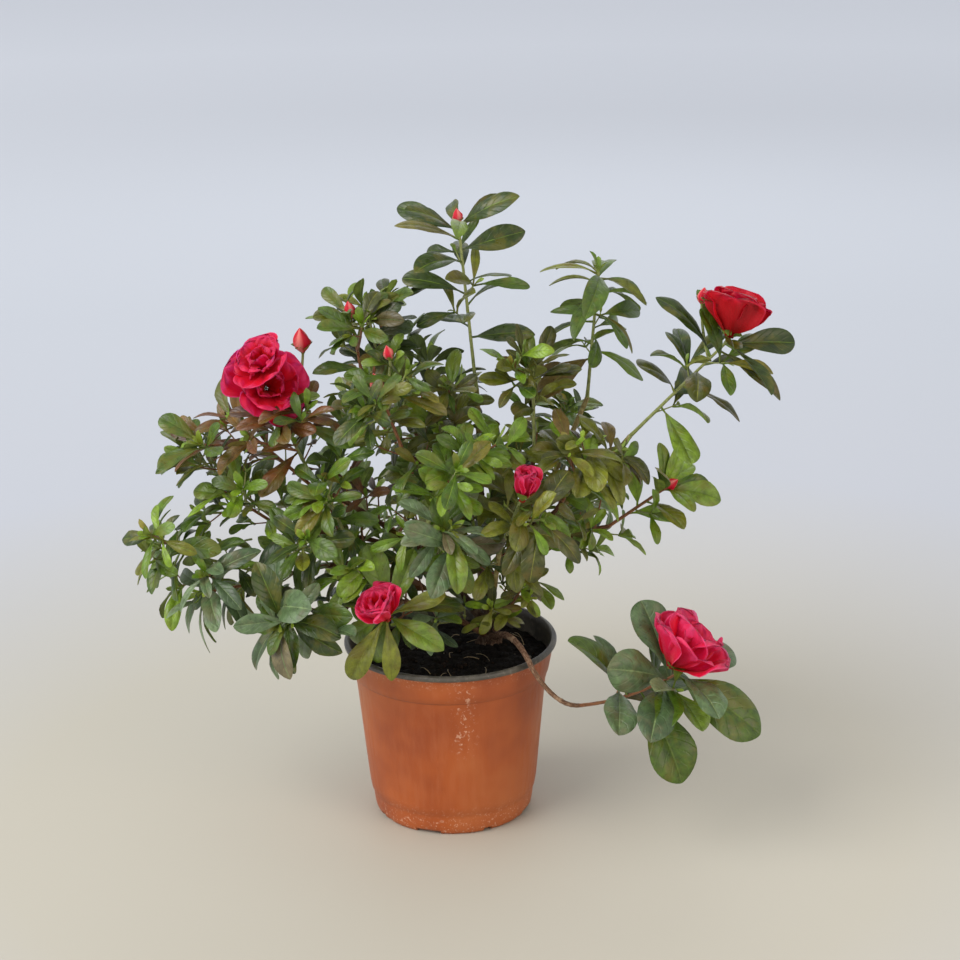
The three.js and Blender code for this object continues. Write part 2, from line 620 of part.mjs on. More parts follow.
// A bud or a double bloom: a ball with ruffled sides, drawn out along the way it faces.
function bloomSolid(centre, way, width, height, ruffle, facets) {
  const geometry = new THREE.SphereGeometry(1, ...facets);
  const position = geometry.attributes.position;
  const turn = new THREE.Quaternion().setFromUnitVectors(new THREE.Vector3(0, 1, 0), way);
  for (let i = 0; i < position.count; i += 1) {
    const place = new THREE.Vector3().fromBufferAttribute(position, i);
    const ring = Math.sqrt(Math.max(0, 1 - place.y ** 2));
    const lobes = 1 + ruffle * ring * Math.cos(5 * Math.atan2(place.z, place.x) + 3 * place.y);
    place.set(place.x * lobes * width / 2, place.y * height / 2, place.z * lobes * width / 2);
    place.applyQuaternion(turn).add(centre);
    position.setXYZ(i, place.x, place.y, place.z);
  }
  return solidOf(geometry);
}

// The way that a leaf's upper face turns: up, and outwards from the crown's middle.
function lightAt(place) {
  const out = new THREE.Vector3(place.x - crownAxis[0], place.y - crownAxis[1], 0);
  return out.normalize().multiplyScalar(0.5).add(new THREE.Vector3(0, -0.25, 0.8));
}

// The stems of the masses take their places first, so that no leaf grows into a stem.
const stems = {};

function placeStem(row) {
  const curve = archedCurve(seat(row, twigRadius), row);
  stems[row.name] = curve;
  registerLimb({ curve, radius: taper(twigRadius, twigRadius * twigTipShare), steps: stemSteps }, row.name);
}

// Grows one mass: its stem, leaves, side twigs, buds and bloom, each in the mass's own space.
const counts = {};

function makeMass(row) {
  const dice = new Dice(row.seed);
  const pieces = [];
  const own = [];
  const others = bodies.filter((body) => body.owner !== row.name);
  counts[row.name] = { leaves: 0, skipped: 0 };

  const fits = (body, gap, list) => list.every((other) => clear(body, other, gap));

  const addTwig = (curve, foot, steps, isSide) => {
    const rule = taper(foot, foot * twigTipShare);
    const parts = [];
    for (let i = 0; i < steps; i += 1) {
      parts.push(stick(curve.getPoint(i / steps), curve.getPoint((i + 1) / steps), rule(i / steps)));
    }
    if (isSide && !parts.every((part) => fits(part, neighbourGap, others))) {
      return false;
    }
    parts.forEach((part) => own.push({ kind: 'twig', ...part }));
    pieces.push(solidOf(limbGeometry(curve, rule, twigSides, steps)));
    return true;
  };

  const addLeaf = (curve, share, azimuth, spread, length) => {
    const root = curve.getPoint(share);
    const light = lightAt(root);
    const along = curve.getTangent(share).addScaledVector(light, row.facing).normalize();
    const twist = THREE.MathUtils.degToRad(dice.between(-leafTwist, leafTwist));
    const zero = across(vertical, along);
    const quarter = new THREE.Vector3().crossVectors(along, zero);
    for (const turn of leafTurns) {
      const angle = THREE.MathUtils.degToRad(azimuth + turn);
      const out = zero.clone().multiplyScalar(Math.cos(angle)).addScaledVector(quarter, Math.sin(angle));
      const open = THREE.MathUtils.degToRad(spread);
      const way = along.clone().multiplyScalar(Math.cos(open)).addScaledVector(out, Math.sin(open));
      way.z -= row.hang;
      way.normalize();
      const lift = across(along.clone().multiplyScalar(0.4).add(light), way).applyAxisAngle(way, twist);
      const leaf = { root, way, lift, length, plump: row.plump, hang: row.hang };
      const corners = leafCorners({ ...leaf, rootShare: 0 });
      const blade = block(leafCorners({ ...leaf, rootShare: ownLeafShare }), leafFaces);
      const whole = block(corners, leafFaces);
      const blades = own.filter((body) => body.kind === 'blade');
      if (fits(whole, neighbourGap, others) && fits(blade, ownLeafGap, blades)) {
        own.push({ kind: 'blade', ...blade });
        own.push({ kind: 'leaf', ...whole });
        pieces.push(leafSolid(corners));
        counts[row.name].leaves += 1;
        return;
      }
    }
    counts[row.name].skipped += 1;
  };

  const addLeaves = (curve, count, from, whorl) => {
    let azimuth = dice.between(0, 360);
    for (let i = 0; i < whorl; i += 1) {
      azimuth += 360 / whorl + dice.between(-12, 12);
      const length = row.leaf * dice.between(0.68, 1);
      const share = 1 - (i + 0.3) * whorlPitch / curve.getLength();
      addLeaf(curve, share, azimuth, row.spread * dice.between(0.72, 1.15), length);
    }
    for (let i = 0; i < count; i += 1) {
      azimuth += goldenTurn;
      const share = from + (0.95 - from) * (i + 0.3) / count;
      const length = row.leaf * dice.between(0.78, 1.08);
      addLeaf(curve, share, azimuth, (row.spread + 14 * (1 - share)) * dice.between(0.9, 1.15), length);
    }
  };

  const stem = stems[row.name];
  addTwig(stem, twigRadius, stemSteps, false);
  if (row.bloom) {
    addBloom(row, stem, pieces, own, dice);
  }
  if (row.bud) {
    const way = stem.getTangent(1);
    const centre = stem.getPoint(1).addScaledVector(way, row.bud * 0.55);
    pieces.push(bloomSolid(centre, way, row.bud, row.bud * budHeight, budRuffle, budFacets));
    own.push({ kind: 'bud', ...ball(centre, row.bud * 0.6) });
  }
  addLeaves(stem, row.leaves, row.bare ?? 0.3, row.whorl);
  const firstTurn = dice.between(0, 360);
  for (let i = 0; i < row.twigs; i += 1) {
    const share = 0.35 + 0.5 * (i + dice.between(0.1, 0.9)) / row.twigs;
    const along = stem.getTangent(share);
    const angle = THREE.MathUtils.degToRad(firstTurn + i * goldenTurn);
    const zero = across(vertical, along);
    const quarter = new THREE.Vector3().crossVectors(along, zero);
    const out = zero.multiplyScalar(Math.cos(angle)).addScaledVector(quarter, Math.sin(angle));
    const way = along.clone().multiplyScalar(0.64).addScaledVector(out, 0.77);
    way.z += 0.1;
    way.normalize();
    const length = row.length * dice.between(0.35, 0.5) + 6;
    const start = stem.getPoint(share);
    const end = start.clone().addScaledVector(way, length);
    const bend = start.clone().addScaledVector(way, length * 0.5).addScaledVector(out, length * 0.06);
    const curve = new THREE.QuadraticBezierCurve3(start, bend, end);
    const leafCount = Math.round(dice.between(0.5, 1.6));
    const whorl = Math.round(dice.between(3.1, 4.4));
    if (addTwig(curve, sideTwigRadius, sideTwigSteps, true)) {
      addLeaves(curve, leafCount, 0.35, whorl);
    }
  }
  own.filter((body) => body.kind !== 'blade').forEach((body) => bodies.push({ ...body, owner: row.name }));
  return geometryOf(largestBody(wasm.Manifold.union(pieces)));
}

function addBloom(row, stem, pieces, own, dice) {
  const way = stem.getTangent(1).multiplyScalar(0.35).add(new THREE.Vector3(0, -0.35, 0.9)).normalize();
  const turnAside = dice.between(-0.2, 0.2);
  const centre = stem.getPoint(1).addScaledVector(way, row.bloom * 0.5);
  const pedicel = new THREE.LineCurve3(stem.getPoint(0.97), centre);
  pieces.push(solidOf(limbGeometry(pedicel, taper(sideTwigRadius, sideTwigRadius), twigSides, 1)));
  pieces.push(bloomSolid(centre, way, row.bloom, row.bloom * bloomHeight, bloomRuffle, bloomFacets));
  own.push({ kind: 'bloom', ...ball(centre, row.bloom * bloomBall) });
  if (row.twin) {
    const width = row.bloom * twinShare;
    const aside = new THREE.Vector3(-row.bloom * (0.2 + turnAside * 0.1), 0, row.bloom * 0.4);
    const second = centre.clone().add(aside);
    pieces.push(bloomSolid(second, way, width, width * bloomHeight, bloomRuffle, bloomFacets));
    own.push({ kind: 'bloom', ...ball(second, width * bloomBall) });
  }
}

const plant = new THREE.Group();
plant.name = 'azalea_in_pot';

function addNode(name, geometry, material) {
  const mesh = new THREE.Mesh(geometry, material);
  mesh.name = name;
  plant.add(mesh);
}

// The pot stands in the way of leaves as one drum, from its foot to its rim.
function potDrum() {
  const sides = 16;
  const corners = [];
  const faces = [[], []];
  for (let i = 0; i < sides; i += 1) {
    const angle = i / sides * 2 * Math.PI;
    const corner = new THREE.Vector3(Math.cos(angle), Math.sin(angle), 0).multiplyScalar(rimRadius + 1);
    corners.push(corner, corner.clone().setZ(potHeight));
    const next = (i + 1) % sides;
    faces.push([2 * i, 2 * next, 2 * next + 1, 2 * i + 1]);
    faces[0].push(2 * i);
    faces[1].push(2 * i + 1);
  }
  return { owner: 'pot', kind: 'pot', ...block(corners, faces) };
}

addNode('pot', makePot(), potPlastic);
addNode('peat', makePeat(), peatMaterial);
addNode('trunk', makeTrunk(), bark);
for (const row of boughs) {
  addNode(row.name, makeBough(row), bark);
}
bodies.push(potDrum());
masses.forEach(placeStem);
for (const row of masses) {
  addNode(row.name, makeMass(row), foliage[row.tint]);
}

export default plant;
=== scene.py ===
# A potted azalea: a plastic nursery pot with peat, a short trunk, boughs, twigs, leaves, buds and
# double blossom. The tables and the growth are in millimetres, with +Z up and the origin under the
# pot, and every mesh is scaled to metres when it is made.
import functools
import json
import math

import bpy
import numpy as np
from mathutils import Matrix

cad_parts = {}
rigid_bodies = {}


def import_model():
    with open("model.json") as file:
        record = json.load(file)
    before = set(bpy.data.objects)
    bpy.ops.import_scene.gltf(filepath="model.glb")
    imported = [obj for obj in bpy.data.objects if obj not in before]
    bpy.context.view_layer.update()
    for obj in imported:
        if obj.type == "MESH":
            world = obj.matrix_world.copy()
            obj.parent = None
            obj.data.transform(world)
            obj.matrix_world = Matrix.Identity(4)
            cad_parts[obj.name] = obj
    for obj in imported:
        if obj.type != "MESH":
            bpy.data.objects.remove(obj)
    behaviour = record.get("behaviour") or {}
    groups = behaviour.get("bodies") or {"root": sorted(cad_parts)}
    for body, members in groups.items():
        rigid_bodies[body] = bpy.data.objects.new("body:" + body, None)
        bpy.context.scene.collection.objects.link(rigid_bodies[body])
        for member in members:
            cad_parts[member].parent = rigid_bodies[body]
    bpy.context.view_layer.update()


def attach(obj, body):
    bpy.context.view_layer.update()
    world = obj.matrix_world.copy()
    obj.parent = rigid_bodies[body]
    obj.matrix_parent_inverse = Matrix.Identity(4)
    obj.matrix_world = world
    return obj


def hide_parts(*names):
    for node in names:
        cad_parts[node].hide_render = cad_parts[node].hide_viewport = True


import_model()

MILLIMETRE = 0.001

# Camera and floor, in metres and degrees
CAMERA_PLACE = (0.0198, -1.3616, 0.6694)
CAMERA_PITCH, CAMERA_ROLL = 18.6, -1
CAMERA_LENS = 90
FLOOR_REACH = 12

# Pot
RIM_RADIUS = 65
POT_HEIGHT = 111
LIP_HEIGHT = 5
LIP_STAND = 2.6
COLLAR_HEIGHT = 11
COLLAR_LINE = 91.2
FOOT_RADIUS = 48.5
WALL = 1.2
FLOOR_TOP = 4
RING_INSIDE = 42.5
FOOT_GROOVE = 2.6
DISC_RADIUS = 30
DRAIN_NOTCHES = 8
NOTCH_TURN = 1.58
NOTCH_WIDTH, NARROW_NOTCH, NOTCH_HEIGHT = 16, 0.34, 2.2
# How far the wall stands out from the foot's radius, and at what height
BELLY, BELLY_HEIGHT = 9.4, 84.5
LOW_FLARE, LOW_FLARE_HEIGHT = 3.1, 20
COLLAR_FLARE = 12.8
MOULD_SEAM = math.radians(-99)
POT_STEPS = 168
PEAT_LEVEL = 98.5
SEAT_GAP = 0.3

# Trunk
TRUNK_FOOT = (24, 20)
TRUNK_LENGTH = 21
TRUNK_GIRTH = 15
FORK_GIRTH = 9.6
TRUNK_HEADING, TRUNK_RISE = 0, 87

# Limbs, twigs and leaves, as the solids have them
LIMB_STEPS = 4
STEM_STEPS = 3
SIDE_STEPS = 1
TWIG_RADIUS = 1.35
SIDE_TWIG_RADIUS = 1.1
TWIG_TIP_SHARE = 0.7
LIMB_GAP = 0.32
SEAT_STEP = 0.02
FOOT_POINTS = 12
NEIGHBOUR_GAP = 0.45
OWN_LEAF_GAP = 0.2
GOLDEN_TURN = 137.5
LEAF_THICKNESS = 1.1
LEAF_WIDEST_AT = 0.6
LEAF_BROADER = 1.2
LEAF_FOLD = 0.12
LEAF_TWIST = 32
ROOT_DEPTH = 0.3
WHORL_PITCH = 1.2
OWN_LEAF_SHARE = 0.25
LEAF_TURNS = (0, 24, -24, 48, -48)
CROWN_AXIS = (10, 25)

# What the scene adds: finer shoots, new leaves at the tips, bark and petals
FINE_SEED, BOUGH_SHOOT_SEED, LOOK_SEED, TIP_SEED, TWIG_SEED = 5000, 6000, 7000, 8000, 9000
TRUNK_SEED, BOUGH_SEED, BLOOM_SEED, PEAT_SEED = 61, 300, 41, 17
SHOOT_PITCH = 10.5
SHOOT_LENGTH = (6, 15)
BOUGH_SHOOT_PITCH = 6
BOUGH_SHOOT_LENGTH = (14, 30)
BOUGH_LEAF = 30
SPIRE_SHARE = 0.4
LARGE_LEAF = 23
GRAND_LEAF = 38
BREADTHS, LENGTHS = (0.68, 1.08), (0.92, 1.06)
SHOOT_RADIUS = 0.6
TWIG_SLIM = 0.85
STRAY_LEAVES, ODD_LEAVES = 0.25, 0.3
STRAYS = dict(fresh="mid", mid="olive", deep="mid", grey="mid", olive="fresh", bronze="mid",
              young="young")
UV_LENGTH = 10
OLD_BARK, YOUNG_BARK, RED_BARK, GREEN_BARK = range(4)
OLD_GIRTH = 4.4
BARK_OF = dict(trailing_stem=RED_BARK, trailing_bough=RED_BARK, spire_bough=GREEN_BARK,
               right_spire_bough=GREEN_BARK, right_bloom_bough=GREEN_BARK, front_bud_bough=GREEN_BARK)
BARE_BOUGHS = ("trailing_stem", "trailing_bough", "right_bloom_bough", "right_spire_bough", "spire_bough")
LARGE_BUD, VIEW_SLOPE = 12, 0.336
LEAF_SIZES = dict(base_sprouts=0.7, trailing_bloom=1.14, right_bloom=1.05, tall_spire=1.06)
TWIG_OF = dict(trailing_bloom=1, tall_spire=0, right_spire=0, right_bloom=0)
BLOOM_SEAT = 0.4
CLODS, STRANDS = 420, 26
# A petal's paints. The deep one, on the inner petals, is partly their own deeper red and partly painted shade
# in the bloom's heart.
PETAL, PETAL_DEEP_AND_SHADE, PETAL_BACK, PETAL_RIM = range(4)
# Rings of petals, for a cup, an open bloom and a rolled bud. Each ring has how many petals, how far
# they open in degrees, their length as a share of the bloom's width, their breadth over their
# length, and how crumpled they are.
CUP = ((5, 40, 0.62, 1.24, 0.0), (4, 25, 0.61, 1.14, 0.3), (3, 10, 0.54, 0.9, 1.0))
OPEN_BLOOM = ((5, 62, 0.56, 1.24, 0.1), (5, 42, 0.48, 1.14, 0.5), (4, 18, 0.36, 1.0, 1.4))
LOW_CALYX, TALL_CALYX = (0.22, 0.55, -0.1), (0.8, 1.0, -0.2)
ROLLED_BUD = ((4, 8, 0.62, 0.86, 0.2), (4, 3, 0.58, 0.8, 0.6))
BLOOM_LOOKS = dict(
    right_bloom=[dict(rings=CUP, open=0.82, size=1.02, tint=0, calyx=LOW_CALYX, way=(0.3, 0.2, 0.9))],
    trailing_bloom=[dict(rings=CUP, open=1, size=1.2, tint=1, calyx=LOW_CALYX, way=(0.6, -0.05, 0.75))],
    left_bloom=[dict(rings=OPEN_BLOOM, open=1, size=1, tint=2, calyx=LOW_CALYX, way=(0.3, -0.9, 0.5)),
                dict(rings=OPEN_BLOOM, open=1, size=0.9, tint=2, calyx=LOW_CALYX, way=(-0.4, -0.5, 0.8))],
    front_bloom=[dict(rings=CUP, open=0.9, size=1.25, tint=1, calyx=LOW_CALYX, way=(-0.4, -0.3, 0.8))],
)
# Small buds beside a bloom or a bud: where from its centre, and how wide.
EXTRA_BUDS = dict(left_bloom=[((16, 23, 18), 12)], right_bloom=[((-20, 2, 7), 8)],
                  bud_crest=[((7, 2, 17), 7)], left_crest=[((-11, 1, -3), 6)])

# The boughs. Each leaves its parent at a share along it, with its heading and rise in degrees. The
# arch says how far its middle is lifted, and foot and end are its girths.
BOUGH_COLUMNS = ("name", "parent", "at", "heading", "rise", "length", "arch", "foot", "end")
BOUGHS = [dict(zip(BOUGH_COLUMNS, row)) for row in (
    ("centre_stem", "trunk", 1, 162, 86, 97, 0, 6, 4.2),
    ("left_stem", "trunk", 0.82, -157, 51, 71, 4, 5.4, 4),
    ("right_stem", "trunk", 0.72, -14, 72, 84, 0, 5.4, 3.8),
    ("back_stem", "trunk", 0.62, 102, 50, 75, 5, 5, 3.6),
    ("front_low_bough", "trunk", 0.35, -131, 31, 86, 3, 4, 2.6),
    ("front_bud_bough", "trunk", 0.84, -83, 53, 76, 3, 3.6, 2.6),
    ("trailing_stem", "trunk", 0.25, -72, 7, 71, 9, 4.4, 3.2),
    ("trailing_bough", "trailing_stem", 1, 12, -44, 38, -6, 3, 2.6),
    ("low_left_bough", "left_stem", 0.72, -165, 1, 92, 5, 3.6, 2.4),
    ("mid_left_bough", "left_stem", 0.86, -177, 13, 77, 4, 3.4, 2.4),
    ("high_left_bough", "left_stem", 1, -171, 36, 69, 2, 3.6, 2.6),
    ("front_bough", "left_stem", 0.94, -81, 31, 55, 3, 3.4, 2.6),
    ("inner_left_bough", "left_stem", 0.56, -147, 30, 74, -3, 3.2, 2.4),
    ("left_crest_bough", "centre_stem", 0.8, -162, 47, 94, 3, 3.8, 2.8),
    ("spire_bough", "centre_stem", 1, -98, 75, 47, 0, 4, 3.4),
    ("bud_crest_bough", "centre_stem", 0.7, -131, 38, 81, 3, 3.4, 2.6),
    ("right_spire_bough", "right_stem", 1, 34, 60, 66, 0, 3.6, 3),
    ("right_bloom_bough", "right_stem", 0.84, -13, 47, 78, -3, 3.6, 2.8),
    ("right_low_bough", "right_stem", 0.5, -6, 27, 54, 4, 3, 2.4),
    ("olive_bough", "right_stem", 0.76, -77, 74, 61, 0, 3.2, 2.6),
    ("right_heart_bough", "right_stem", 0.62, -57, 49, 55, 0, 3, 2.4),
    ("low_front_bough", "front_low_bough", 1, -170, -4, 36, 2, 2.6, 2.2),
    ("back_left_bough", "back_stem", 1, 147, 29, 51, 2, 3.4, 2.6),
    ("back_right_bough", "back_stem", 0.8, 34, 24, 58, 2, 3.2, 2.6),
    ("back_low_bough", "back_stem", 0.66, 128, -11, 78, 6, 3.2, 2.4),
)]

# What only some masses have: a bud or a bloom of a width, where they leave the bough, how their
# stem is arched, and up to where it is bare.
EXTRAS = dict(
    tall_spire=dict(bud=7), right_bloom=dict(bloom=45), right_shoot=dict(bud=8), left_crest=dict(bud=8),
    trailing_bloom=dict(bloom=44, arch=-4, bare=0.35), left_bloom=dict(bloom=46, twin=True),
    bud_crest=dict(bud=9), front_bud=dict(bud=16), front_bloom=dict(bloom=27),
    base_sprouts=dict(at=0.5, bare=0.2), left_tip_low=dict(bare=0.1), left_hanging=dict(bare=0.1),
    left_low_front=dict(bare=0.05),
)
# The masses of foliage, each with its bough, its stem's heading, rise and length, how many leaves,
# tip leaves and side twigs, the leaves' look, and the seed that deals out their turns.
MASS_COLUMNS = ("name", "parent", "heading", "rise", "length", "leaves", "whorl", "twigs", "leaf",
                "plump", "spread", "hang", "facing", "tint", "seed")
MASSES = [dict(zip(MASS_COLUMNS, row), **EXTRAS.get(row[0], {})) for row in (
    ("tall_spire", "spire_bough", 178, 85, 102, 10, 6, 0, 40, 0.4, 68, 0.04, 0.2, "mid", 931),
    ("right_spire", "right_spire_bough", -4, 85, 79, 11, 6, 0, 40, 0.4, 68, 0.32, 0.3, "mid", 657),
    ("right_bloom", "right_bloom_bough", -15, 47, 86, 9, 6, 0, 45, 0.44, 69, 0.07, 0.6, "mid", 663),
    ("right_shoot", "right_low_bough", -16, 38, 44, 4, 7, 0, 38, 0.46, 52, 0.06, 0.2, "fresh", 504),
    ("trailing_bloom", "trailing_bough", -1, 19, 62, 5, 7, 0, 56, 0.56, 79, 0, 1.3, "grey", 717),
    ("left_bloom", "high_left_bough", -148, 65, 53, 5, 7, 2, 34, 0.4, 78, 0.04, 0.2, "bronze", 636),
    ("left_shoulder", "high_left_bough", 179, 43, 62, 6, 5, 1, 32, 0.4, 42, 0.06, 0.1, "bronze", 653),
    ("left_crest", "left_crest_bough", 177, 81, 48, 5, 5, 2, 30, 0.44, 60, 0.06, 0.4, "mid", 979),
    ("mid_crest", "left_crest_bough", 46, 74, 55, 5, 5, 2, 30, 0.44, 62, 0.04, 0.6, "deep", 734),
    ("bud_crest", "bud_crest_bough", -155, 71, 43, 4, 5, 2, 29, 0.42, 70, 0.06, 0.7, "mid", 364),
    ("centre_top", "centre_stem", -118, 58, 62, 6, 6, 1, 30, 0.44, 70, 0.08, 0.2, "olive", 199),
    ("centre_front", "front_bough", -9, 62, 53, 5, 7, 2, 29, 0.48, 68, 0.06, 0.7, "fresh", 842),
    ("low_centre", "front_bough", -42, -14, 20, 2, 5, 1, 39, 0.44, 72, 0.14, 0.7, "grey", 941),
    ("olive_crest", "olive_bough", 93, 83, 46, 5, 7, 2, 29, 0.44, 52, 0.04, 0.8, "olive", 498),
    ("right_heart", "right_heart_bough", 5, 62, 35, 4, 7, 2, 33, 0.5, 76, 0.12, 0.9, "olive", 587),
    ("front_bud", "front_bud_bough", -60, 58, 44, 5, 6, 1, 37, 0.48, 80, 0.1, 0.3, "olive", 695),
    ("base_sprouts", "trunk", -59, 50, 48, 6, 5, 1, 26, 0.44, 70, 0.12, 0.4, "olive", 606),
    ("left_tip_high", "mid_left_bough", 177, 41, 77, 5, 6, 1, 33, 0.44, 50, 0.04, 0, "mid", 352),
    ("left_tip_mid", "mid_left_bough", -155, 39, 51, 5, 5, 2, 29, 0.44, 64, 0.04, 0.8, "fresh", 257),
    ("left_tip_low", "low_left_bough", -179, 16, 71, 9, 7, 2, 33, 0.44, 82, 0.18, 0.6, "fresh", 5),
    ("left_hanging", "low_left_bough", -157, 0, 44, 5, 6, 1, 38, 0.4, 76, 0.36, 0.2, "grey", 34),
    ("left_low_front", "low_front_bough", -161, 9, 36, 5, 5, 1, 42, 0.5, 88, 0.18, 0.4, "grey", 393),
    ("left_inner", "inner_left_bough", -156, 70, 39, 5, 5, 2, 29, 0.44, 70, 0.08, 0.7, "fresh", 971),
    ("left_inner_low", "inner_left_bough", -150, 4, 30, 3, 5, 1, 30, 0.44, 72, 0.06, 0.8, "mid", 635),
    ("front_bloom", "front_low_bough", -112, -1, 26, 2, 8, 0, 42, 0.44, 94, 0.1, 0.5, "mid", 997),
    ("front_fresh", "front_low_bough", -158, 50, 30, 3, 5, 1, 28, 0.44, 64, 0.08, 0.7, "fresh", 440),
    ("back_left", "back_left_bough", 161, 51, 50, 5, 5, 2, 31, 0.42, 52, 0.06, 0.5, "mid", 850),
    ("back_top", "back_left_bough", 17, 77, 62, 6, 5, 2, 31, 0.44, 50, 0.1, 0.7, "deep", 932),
    ("back_right", "back_right_bough", 26, 56, 40, 5, 5, 2, 32, 0.44, 68, 0.1, 0.3, "mid", 111),
    ("back_right_low", "back_right_bough", 7, -28, 46, 5, 5, 1, 29, 0.44, 78, 0.2, 0.2, "mid", 970),
    ("back_low", "back_low_bough", 152, 18, 46, 5, 5, 1, 35, 0.44, 64, 0.08, 0.3, "grey", 320),
    ("back_mid", "back_low_bough", 50, 32, 46, 5, 5, 2, 32, 0.44, 68, 0.16, 0.3, "mid", 103),
)]


# Vectors and chance
def vec(*numbers):
    return np.array(numbers, float)


VERTICAL, SIDEWAYS = vec(0, 0, 1), vec(1, 0, 0)


def unit(v):
    return v / math.sqrt(v @ v)


def cross(a, b):
    return vec(a[1] * b[2] - a[2] * b[1], a[2] * b[0] - a[0] * b[2], a[0] * b[1] - a[1] * b[0])


def turned(v, axis, angle):
    """A vector turned about a unit axis, by radians."""
    return (v * math.cos(angle) + cross(axis, v) * math.sin(angle)
            + axis * ((axis @ v) * (1 - math.cos(angle))))


def direction(heading, rise):
    h, r = math.radians(heading), math.radians(rise)
    return vec(math.cos(r) * math.cos(h), math.cos(r) * math.sin(h), math.sin(r))


def across(vector, axis):
    """What is left of a vector across an axis, at unit length."""
    rest = vector - axis * (vector @ axis)
    if rest @ rest > 0.05 ** 2:
        return unit(rest)
    return unit(SIDEWAYS - axis * (SIDEWAYS @ axis))


def outward(along, degrees):
    """The way out from an axis, turned about it."""
    zero, angle = across(VERTICAL, along), math.radians(degrees)
    return zero * math.cos(angle) + cross(along, zero) * math.sin(angle)


def opened(along, degrees, out):
    """A way that leans from an axis, outwards."""
    angle = math.radians(degrees)
    return along * math.cos(angle) + out * math.sin(angle)


class Dice:
    """The same seeded row of random numbers that the solids are grown with."""

    def __init__(self, seed):
        self.state = seed * 2654435761 & 0xFFFFFFFF
        self.next()
        self.next()

    def next(self):
        self.state = self.state * 1664525 + 1013904223 & 0xFFFFFFFF
        return self.state / 4294967296

    def between(self, low, high):
        return low + (high - low) * self.next()

    def pick(self, *choices):
        return choices[math.floor(self.next() * len(choices))]


class Curve:
    """A bent line through a start, a pull point and an end."""

    def __init__(self, start, pull, end):
        self.start, self.pull, self.end = start, pull, end

    def point(self, t):
        return self.start * ((1 - t) * (1 - t)) + self.pull * (2 * (1 - t) * t) + self.end * (t * t)

    def tangent(self, t):
        return unit(self.point(min(1, t + 1e-4)) - self.point(max(0, t - 1e-4)))

    def length(self):
        points = [self.point(i / 200) for i in range(201)]
        return sum(math.sqrt((b - a) @ (b - a)) for a, b in zip(points, points[1:]))


class TrunkLine(Curve):
    """The trunk's straight middle line, whose rings stay level."""

    def tangent(self, t):
        return VERTICAL


def arched(start, row):
    chord = direction(row["heading"], row["rise"]) * row["length"]
    pull = start + chord * 0.5
    pull[2] += 2 * row.get("arch", 0)
    return Curve(start, pull, start + chord)


def side_shoot(start, along, out, lean, length, bend):
    """A side twig, whose lean says how much it follows its parent, stands out and rises."""
    way = unit(along * lean[0] + out * lean[1] + vec(0, 0, lean[2]))
    return Curve(start, start + way * (length * 0.5) + out * (length * bend), start + way * length)


def taper(foot, tip):
    return lambda share, angle=0: foot + (tip - foot) * share


# Clearance between straight sticks, balls and leaf blocks
class Body:
    def __init__(self, owner, corners, radius=0.0, normals=(), edges=()):
        self.owner, self.radius = owner, radius
        self.corners = np.array(corners, float)
        self.normals = np.array(normals, float).reshape(-1, 3)
        self.edges = np.array(edges, float).reshape(-1, 3)
        self.low = self.corners.min(0) - radius
        self.high = self.corners.max(0) + radius
        self.centre = (self.low + self.high) / 2


def sticks(owner, curve, steps, radius):
    """A curve as straight sticks."""
    points = [curve.point(i / steps) for i in range(steps + 1)]
    return [Body(owner, [start, end], radius(i / steps, 0), edges=[unit(end - start)])
            for i, (start, end) in enumerate(zip(points, points[1:]))]


def block(owner, corners, faces):
    normals = [unit(cross(corners[b] - corners[a], corners[c] - corners[a])) for a, b, c, *_ in faces]
    edges = []
    for face in faces:
        for start, end in zip(face, face[1:] + face[:1]):
            if start < end:
                edges.append(unit(corners[end] - corners[start]))
    return Body(owner, corners, 0.0, normals, edges)


def clear(a, b, gap):
    """Whether two bodies lie at least the gap apart along some axis."""
    need = gap + a.radius + b.radius
    axes = [(a.centre - b.centre)[None], a.normals, b.normals]
    if len(a.edges) and len(b.edges):
        axes.append(np.cross(a.edges[:, None], b.edges[None]).reshape(-1, 3))
    axes = np.concatenate(axes)
    lengths = np.sqrt((axes * axes).sum(1))
    axes = axes[lengths >= 1e-6] / lengths[lengths >= 1e-6, None]
    on_a, on_b = a.corners @ axes.T, b.corners @ axes.T
    apart = np.maximum(on_a.min(0) - on_b.max(0), on_b.min(0) - on_a.max(0))
    return bool((apart >= need).any())


class Crowd:
    """Bodies to keep clear of, with their boxes ready for a quick first test."""

    def __init__(self, bodies=()):
        self.bodies = list(bodies)
        self.lows = np.array([b.low for b in self.bodies]).reshape(-1, 3)
        self.highs = np.array([b.high for b in self.bodies]).reshape(-1, 3)

    def add(self, body):
        self.bodies.append(body)
        self.lows = np.vstack([self.lows, body.low])
        self.highs = np.vstack([self.highs, body.high])

    def fits(self, body, gap):
        near = ((self.lows <= body.high + gap) & (self.highs >= body.low - gap)).all(1)
        return all(clear(body, self.bodies[i], gap) for i in np.flatnonzero(near))


# Growth of the trunk and boughs
limbs = {}
bodies = []


def register_limb(owner, curve, radius, steps):
    limbs[owner] = (curve, radius, steps)
    bodies.extend(sticks(owner, curve, steps, radius))


def trunk_radius(share, angle):
    low = (1 - share) ** 2
    return (FORK_GIRTH + (TRUNK_GIRTH - FORK_GIRTH) * low) / 2 * (1 + 0.1 * low * math.cos(4 * angle + 0.6))


def grow_trunk():
    foot = vec(*TRUNK_FOOT, PEAT_LEVEL + SEAT_GAP)
    tip = foot + direction(TRUNK_HEADING, TRUNK_RISE) * TRUNK_LENGTH
    register_limb("trunk", TrunkLine(foot, (foot + tip) / 2, tip), trunk_radius, LIMB_STEPS)


